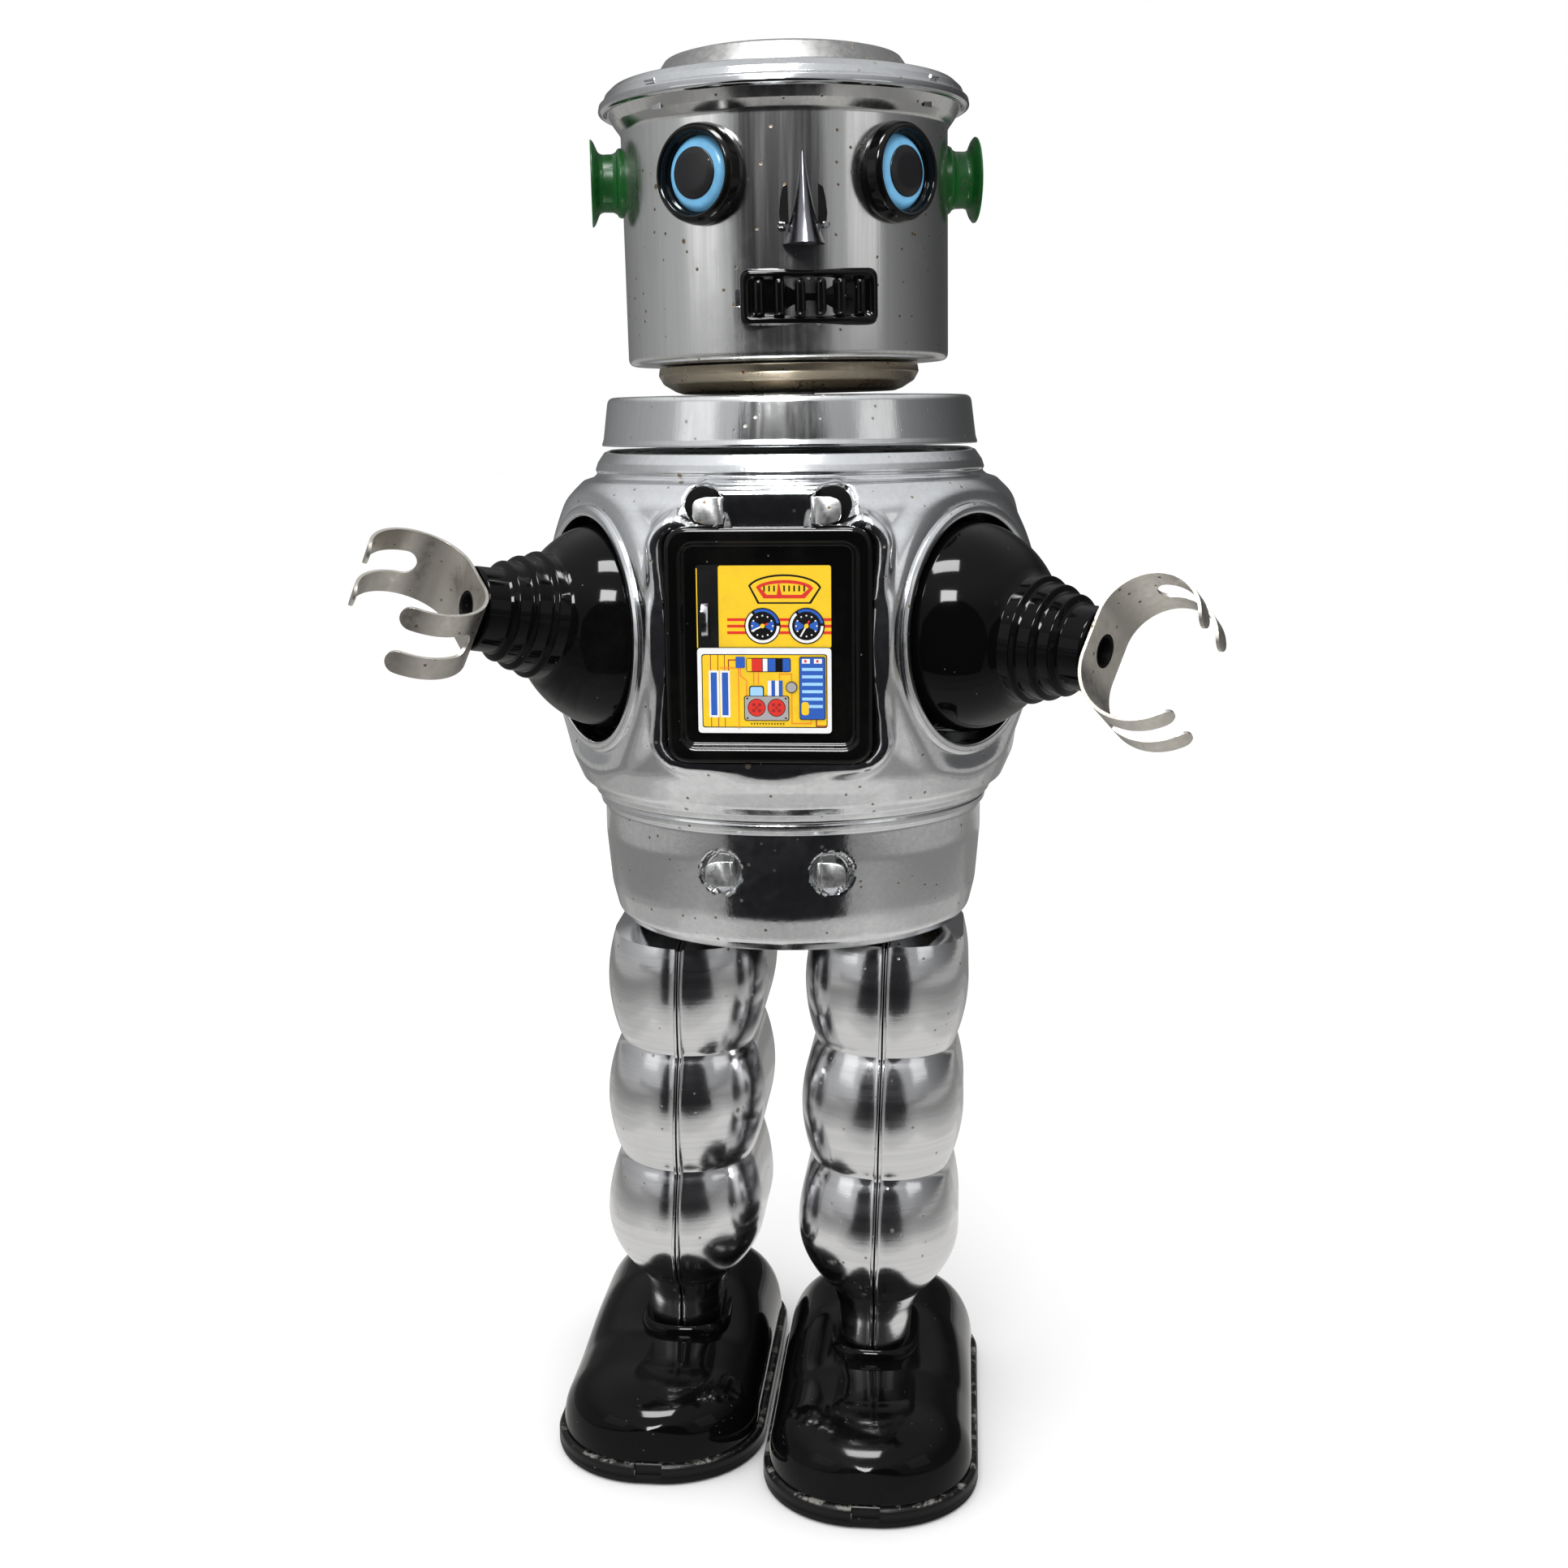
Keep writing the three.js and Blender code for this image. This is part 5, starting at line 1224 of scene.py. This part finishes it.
def leg_section(radius, flange):
    """Half of a leg's outline at one height, from the front seam round the side to the back seam."""
    seam, lip, steps = SEAM_GAP, 0.62, 22
    edge = LEG["spread"] + radius
    low_angle = math.degrees(math.asin(min(0.9, (lip + 0.35) / radius)))
    angles = [math.radians(low_angle + (90 - low_angle) * k / steps) for k in range(steps + 1)]
    arc = [(radius * math.sin(a), LEG["spread"] + radius * math.cos(a)) for a in angles]
    crest = edge + flange
    fold = [(seam, crest), (seam + 0.1, crest + 0.06), (lip - 0.12, crest + 0.04), (lip, crest - 0.12),
            (lip + 0.04, edge + 0.12)]
    half = fold + arc
    middle = [(radius, share * LEG["spread"]) for share in (-0.5, 0, 0.5)]
    return [(x, -y) for x, y in half] + middle + half[::-1]


def leg_loop(radius, z, direction):
    """A closed loop at one height: a half shell's outside, and back along its inside."""
    flange = LEG["flange"] * blend(23.0, 26.0, z) * (1 - blend(89.0, 91.0, z))
    outside = [(direction * x, y, z) for x, y in leg_section(radius, flange)]
    shrink = 1 - LEG["tin"] / (radius + LEG["spread"])
    inside = [(direction * max(SEAM_GAP, x - LEG["tin"] * x / radius), y * shrink, z)
              for x, y in leg_section(radius - 0.1, 0)]
    return outside + inside[::-1]


def build_legs():
    """Each leg is two half shells that meet at a flanged seam in front and behind."""
    profile = leg_profile()
    for side, outward in SIDES.items():
        for part, direction in (("outer", outward), ("inner", -outward)):
            loops = [leg_loop(radius, z, direction) for radius, z in profile]
            obj = mesh_object(f"leg_{part}_{side}", *lofted(loops), LEG_CHROME, leg_matrix(side), sharp=45)
            settle(obj, f"{side}_leg", "chrome", f"leg_{side}_{part}")


# ---------- shoes ----------

def half_width(y, grow=0.0):
    """Half the shoe's width at a place along its length: a rounder toe in front, a squarer heel behind."""
    half, length = SHOE["width"] / 2 + grow, SHOE["length"] / 2 + grow
    radius = (SHOE["toe_r"] if y < 0 else SHOE["heel_r"]) + grow
    beyond = abs(y) - (length - radius)
    if beyond <= 0:
        return half
    return half - radius + math.sqrt(max(0.0, radius ** 2 - beyond ** 2))


def sole_outline(grow, steps=28):
    half, length = SHOE["width"] / 2 + grow, SHOE["length"] / 2 + grow
    toe, heel = SHOE["toe_r"] + grow, SHOE["heel_r"] + grow
    corners = [(half - toe, toe - length, toe, -90), (half - heel, length - heel, heel, 0),
               (heel - half, length - heel, heel, 90), (toe - half, toe - length, toe, 180)]
    return [on_circle(x, y, radius, start + 90 * k / steps)
            for x, y, radius, start in corners for k in range(steps + 1)]


def notched(outline, z):
    """The sole's outline with the square gap in the middle of its front edge, above the tread."""
    half = SHOE["notch"] / 2
    front = min(p.y for p in outline)
    depth = SHOE["notch_depth"] if z > SHOE["tread_h"] else 0.02
    kept = [p for p in outline if p.y > 0 or abs(p.x) > half]
    gap = [(-half, front), (-half + 0.05, front + depth), (half - 0.05, front + depth), (half, front)]
    return kept + [Vector(p) for p in gap]


def crown(y):
    """Height of the shoe's middle line above the sole: a wall, a round toe, then a slope up to the ankle."""
    along = y / SHOE["length"] + 0.5
    toe_top, slope_end, heel_start = 0.22, 0.62, 0.74
    wall = SHOE["wall_h"]
    toe = SHOE["toe_h"] - SHOE["sole_h"]
    heel = SHOE["heel_h"] - SHOE["sole_h"]
    swell = math.sqrt(max(0.0, 1 - (max(0.0, toe_top - along) / toe_top) ** 2))
    fall = math.sqrt(max(0.0, 1 - (max(0.0, along - heel_start) / (1 - heel_start)) ** 2))
    slope = (heel - toe) * blend(toe_top + 0.14, slope_end, along)
    return wall + (toe - wall) * swell * fall + slope * fall


def instep_dip(x, y):
    """The shallow hollow in the middle of the shoe, between the toe and the ankle."""
    depth, place, length, half = 0.4, 0.40, 0.045, 9.0
    along = y / SHOE["length"] + 0.5
    return depth * math.exp(-((along - place) / length) ** 2 - (x / half) ** 2)


def upper_loop(y, across=56):
    """The shoe upper's arched section at a place along its length."""
    squareness = 0.72       # 1 gives an ellipse, less gives fuller shoulders
    width = max(0.02, half_width(y, -UPPER_INSET))
    height = max(0.02, crown(y))
    loop = []
    for k in range(across + 1):
        angle = math.pi * k / across
        x = width * math.copysign(abs(math.cos(angle)) ** squareness, math.cos(angle))
        z = height * math.sin(angle) ** squareness - instep_dip(x, y) * math.sin(angle)
        lean = 1 - 0.06 * blend(0, 1, z / 14)
        loop.append((x * lean, y, SHOE["sole_h"] + 0.1 + z))
    return loop


def build_shoe(side):
    place = move(*SHOE_PLACE[side], 0)
    stations = 120
    half_length = SHOE["length"] / 2 - UPPER_INSET
    loops = [upper_loop(-half_length * math.cos(math.pi * i / stations)) for i in range(stations + 1)]
    upper = mesh_object(f"shoe_upper_{side}", *lofted(loops), BLACK_PLASTIC, place, sharp=40)
    settle(upper, f"{side}_leg", "black_plastic", f"shoe_{side}")
    build_sole(side, place)
    build_ankle_rim(side)


def build_sole(side, place):
    """The sole's loops go up its outside and then down into the hollow that the upper stands in."""
    levels = [
        (-0.55, 0.0), (-0.15, 0.25), (0.0, 0.8), (0.0, 1.2), (0.0, 1.3), (0.0, 2.6), (-0.2, 3.1),
        (-0.6, 3.35), (-1.4, 3.35), (-1.5, 1.0),
    ]
    loops = [[(p.x, p.y, z) for p in notched(sole_outline(grow), z)] for grow, z in levels]
    sole = mesh_object(f"shoe_sole_{side}", *lofted(loops), SOLE_PLASTIC, place, sharp=40)
    settle(sole, f"{side}_leg", "black_plastic", f"sole_{side}")


def build_ankle_rim(side):
    """The raised lip round the opening that the leg goes into."""
    r = 6.6
    centre = leg_matrix(side) @ Vector((0, 0, 18.5))
    levels = ((1.5, 13.5), (1.4, 15.2), (1.1, 15.9), (0.7, 16.2), (0.4, 16.0), (0.25, 15.4), (0.25, 13.0))
    loops = []
    for grow, z in levels:
        outline = rounded_rectangle(2 * (r + grow), 2 * (r + LEG["spread"] + grow), r - 0.2 + grow, 10)
        loops.append([(centre.x + p.x, centre.y + p.y, z) for p in outline])
    rim = mesh_object(f"ankle_rim_{side}", *lofted(loops, wrap=True), BLACK_PLASTIC, sharp=40)
    settle(rim, f"{side}_leg", "black_plastic")


# ---------- winding key ----------

def build_key():
    """A sleeve with two oval loops for the thumb and finger, placed where the CAD model's key is."""
    low_corner, high_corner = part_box("winding_key")
    front = (low_corner.y - AXIS.y) / MM
    z = (low_corner.z + high_corner.z) / 2 / MM
    sleeve = [
        (2.0, 0, 0), (2.9, 0, 0.3), (2.9, 6.4, 0.6), (2.3, 8.2, 0.5), (1.0, 8.4, 0.2), (1.0, 5.6, 0),
        (2.0, 5.6, 0),
    ]
    shapes = [placed(revolved(rounded(sleeve, 4, True), 48), turn(-90, "X"))]
    section = rounded_rectangle(2.2, 1.1, 0.35, 3)
    around = [on_circle(0, 0, 1, 360 * k / 56) for k in range(56)]
    for sign in (1, -1):
        loops = []
        for n in around:
            loops.append([((4.2 + p.x) * n.x + sign * 6.9, 8.9 + (3.6 + p.x) * n.y, p.y) for p in section])
        shapes.append(lofted(loops, wrap=True))
    obj = mesh_object("wind_key", *merged(*shapes), NICKEL, move(0, front, z), sharp=40)
    settle(obj, "winding", "nickel", "winding_key")


# ---------- CAD nodes that stay ----------

def dress_cad_nodes():
    """The motor and the other inner parts keep their CAD shape and get their metal."""
    slots = {part["node"]: part["material_slot"] for part in frame["record"]["subparts"]}
    kept = {"steel": STEEL, "brass": BRASS, "nickel": NICKEL}
    for name, node in frame["nodes"].items():
        if node.hide_render or slots.get(name) not in kept:
            continue
        node.data.materials.clear()
        node.data.materials.append(kept[slots[name]])


# ---------- stage, light and camera ----------

# Brightness of the room in reflections: its base, and how it changes across (+X), along (+Y) and up.
ROOM = {
    "base": 0.32, "across": -0.13, "along": -0.22, "ceiling": 0.60, "ceiling_from": 0.28, "ceiling_to": 0.80,
    "least": 0.04,
}
# The table as reflections see it: half width, front, back, height (mm) and brightness of each area.
TABLE = [
    (1500, -640, 1500, 1.0, 0.44), (430, -640, 430, 1.2, 0.25), (270, -240, 240, 1.4, 0.34),
    (200, -160, 170, 1.6, 0.46), (150, -120, 120, 1.8, 0.60), (110, -85, 80, 2.0, 0.76),
]
KEY = {"place": (-60, -690, 640), "target": (0, 0, 120), "width": 230, "height": 180, "strength": 62}
TOP = {"place": (-40, -170, 560), "target": (-40, -168, 0), "width": 190, "height": 110, "strength": 50}
DARK_CARD = (0.010, 0.010, 0.012)
FLOOR_HALF = 6000


def card(name, verts, color, strength):
    """A flat studio card that only reflections see."""
    material = bpy.data.materials.new(name)
    material.use_nodes = True
    tree = material.node_tree
    tree.nodes.clear()
    glow = tree.nodes.new("ShaderNodeEmission")
    glow.inputs["Color"].default_value = (*color, 1)
    glow.inputs["Strength"].default_value = strength
    out = tree.nodes.new("ShaderNodeOutputMaterial")
    tree.links.new(glow.outputs[0], out.inputs["Surface"])
    obj = plain_object(name, [Vector(v) * MM for v in verts], [list(range(len(verts)))], material)
    obj.visible_camera = False
    obj.visible_diffuse = False
    obj.visible_shadow = False
    obj.visible_transmission = False


def build_floor():
    s = Shader("floor_pale")
    tone = s.mix(s.range(s.noise(3, 3, 0.5), 0.3, 0.7), (0.86, 0.86, 0.86), (0.84, 0.84, 0.84))
    material = s.finish(tone, 0.6, 0.0, s.bump(s.noise(900, 2, 0.5), 0.01))
    signs = ((-1, -1), (1, -1), (1, 1), (-1, 1))
    corners = [Vector((x * FLOOR_HALF, y * FLOOR_HALF, -0.2)) * MM for x, y in signs]
    floor = plain_object("floor", corners, [[0, 1, 2, 3]], material)
    floor.visible_glossy = False


def build_world():
    """A white studio: plain white to the camera and to matt surfaces, and a dimmer room in reflections."""
    world = bpy.data.worlds.new("studio")
    bpy.context.scene.world = world
    world.use_nodes = True
    tree = world.node_tree
    nodes, links = tree.nodes, tree.links
    nodes.clear()

    def math_node(operation, a, b):
        node = nodes.new("ShaderNodeMath")
        node.operation = operation
        for socket, value in zip(node.inputs, (a, b)):
            if isinstance(value, bpy.types.NodeSocket):
                links.new(value, socket)
            else:
                socket.default_value = value
        return node.outputs[0]

    split = nodes.new("ShaderNodeSeparateXYZ")
    links.new(nodes.new("ShaderNodeTexCoord").outputs["Generated"], split.inputs[0])
    across = math_node("MULTIPLY", split.outputs["X"], ROOM["across"])
    along = math_node("MULTIPLY", split.outputs["Y"], ROOM["along"])
    ceiling = nodes.new("ShaderNodeMapRange")
    ceiling.interpolation_type = "SMOOTHSTEP"
    links.new(split.outputs["Z"], ceiling.inputs["Value"])
    ceiling.inputs["From Min"].default_value = ROOM["ceiling_from"]
    ceiling.inputs["From Max"].default_value = ROOM["ceiling_to"]
    ceiling.inputs["To Max"].default_value = ROOM["ceiling"]
    sideways = math_node("ADD", across, along)
    level = math_node("ADD", sideways, math_node("ADD", ceiling.outputs[0], ROOM["base"]))
    room = nodes.new("ShaderNodeBackground")
    links.new(math_node("MAXIMUM", level, ROOM["least"]), room.inputs["Strength"])
    room.inputs["Color"].default_value = (0.97, 0.98, 1, 1)
    white = nodes.new("ShaderNodeBackground")
    white.inputs["Color"].default_value = (1, 1, 1, 1)
    path = nodes.new("ShaderNodeLightPath")
    mix = nodes.new("ShaderNodeMixShader")
    links.new(path.outputs["Is Glossy Ray"], mix.inputs[0])
    links.new(white.outputs[0], mix.inputs[1])
    links.new(room.outputs[0], mix.inputs[2])
    out = nodes.new("ShaderNodeOutputWorld")
    links.new(mix.outputs[0], out.inputs["Surface"])


def area_light(name, place, target, size, power, glossy=True):
    """A soft box of a size in millimetres, pointed at a target."""
    data = bpy.data.lights.new(name, "AREA")
    data.shape = "RECTANGLE"
    data.size, data.size_y = size[0] * MM, size[1] * MM
    data.energy = power
    light = linked(name, data)
    light.location = Vector(place) * MM
    light.rotation_euler = (Vector(target) * MM - light.location).to_track_quat("-Z", "Y").to_euler()
    light.visible_glossy = glossy


def window(name, light):
    """A soft box's bright window, as reflections see it."""
    centre = Vector(light["place"])
    facing = (Vector(light["target"]) - centre).normalized()
    right = facing.cross(Vector((0, 0, 1))).normalized() * light["width"] / 2
    up = right.cross(facing).normalized() * light["height"] / 2
    corners = [centre - right - up, centre + right - up, centre + right + up, centre - right + up]
    card(name, corners, (1, 1, 1), light["strength"])


def overhead_light():
    sun = bpy.data.lights.new("overhead", "SUN")
    sun.energy = 1.1
    sun.angle = math.radians(70)
    overhead = linked("overhead", sun)
    overhead.rotation_euler = (math.radians(18), math.radians(-12), 0)
    overhead.visible_glossy = False


def build_cards():
    """The dark room in front, the table's far edge and the bright table, all as reflections see them."""
    front = -640
    wall = [(-430, 0), (-400, 150), (-380, 250), (-260, 420), (-120, 520), (140, 520), (280, 420), (400, 250),
            (430, 150), (470, 0)]
    card("front_dark", [(x, front, z) for x, z in wall], DARK_CARD, 1.0)
    ground = [(-110, -150), (110, -150), (470, front), (-430, front)]
    card("front_ground", [(x, y, 2.4) for x, y in ground], DARK_CARD, 1.0)
    edge = [(-1500, 0), (1500, 0), (1500, 34), (-1500, 34)]
    card("table_edge", [(x, front - 2, z) for x, z in edge], DARK_CARD, 1.0)
    for number, (half, near, far, height, glow) in enumerate(TABLE):
        area = [(-half, near), (half, near), (half, far), (-half, far)]
        card(f"table_glow_{number}", [(x, y, height) for x, y in area], (1, 0.99, 0.97), glow)


def build_light():
    build_world()
    area_light("key", KEY["place"], KEY["target"], (KEY["width"], KEY["height"]), 1.6, glossy=False)
    area_light("left_glow", (-560, -420, 330), (0, 0, 90), (320, 300), 0.16)
    area_light("right_glow", (620, -360, 330), (0, 0, 90), (320, 300), 0.16)
    window("key_window", KEY)
    window("top_window", TOP)
    overhead_light()
    build_cards()


def build_camera():
    """A camera on a circle round the robot, aimed down and rolled a little."""
    azimuth = math.radians(CAMERA["azimuth"])
    back = Vector((math.sin(azimuth), -math.cos(azimuth), 0))
    right = Vector((math.cos(azimuth), math.sin(azimuth), 0))
    up = Vector((0, 0, 1))
    down = math.radians(CAMERA["down"])
    eye = back * CAMERA["distance"] + up * CAMERA["eye_z"] + right * CAMERA["side"]
    look = -back * math.cos(down) - up * math.sin(down)
    above = -back * math.sin(down) + up * math.cos(down)
    roll = math.radians(CAMERA["roll"])
    camera_right = right * math.cos(roll) - above * math.sin(roll)
    camera_up = right * math.sin(roll) + above * math.cos(roll)
    data = bpy.data.cameras.new("camera")
    data.lens = CAMERA["lens"]
    data.sensor_width = CAMERA["sensor"]
    camera = linked("camera", data)
    rotation = Matrix((camera_right, camera_up, -look)).transposed().to_4x4()
    camera.matrix_world = Matrix.Translation(AXIS + eye * MM) @ rotation
    bpy.context.scene.camera = camera


# ---------- the whole scene ----------

build_body()
build_lugs()
build_collar()
build_head_can()
build_lid()
build_neck_cup()
build_eyes()
build_nose()
build_mouth()
build_ears()
build_chest_frame()
build_sticker()
build_lever()
build_arms()
build_legs()
for shoe_side in SHOE_PLACE:
    build_shoe(shoe_side)
build_key()
dress_cad_nodes()
build_floor()
build_light()
build_camera()
bpy.context.scene.view_settings.view_transform = "Standard"
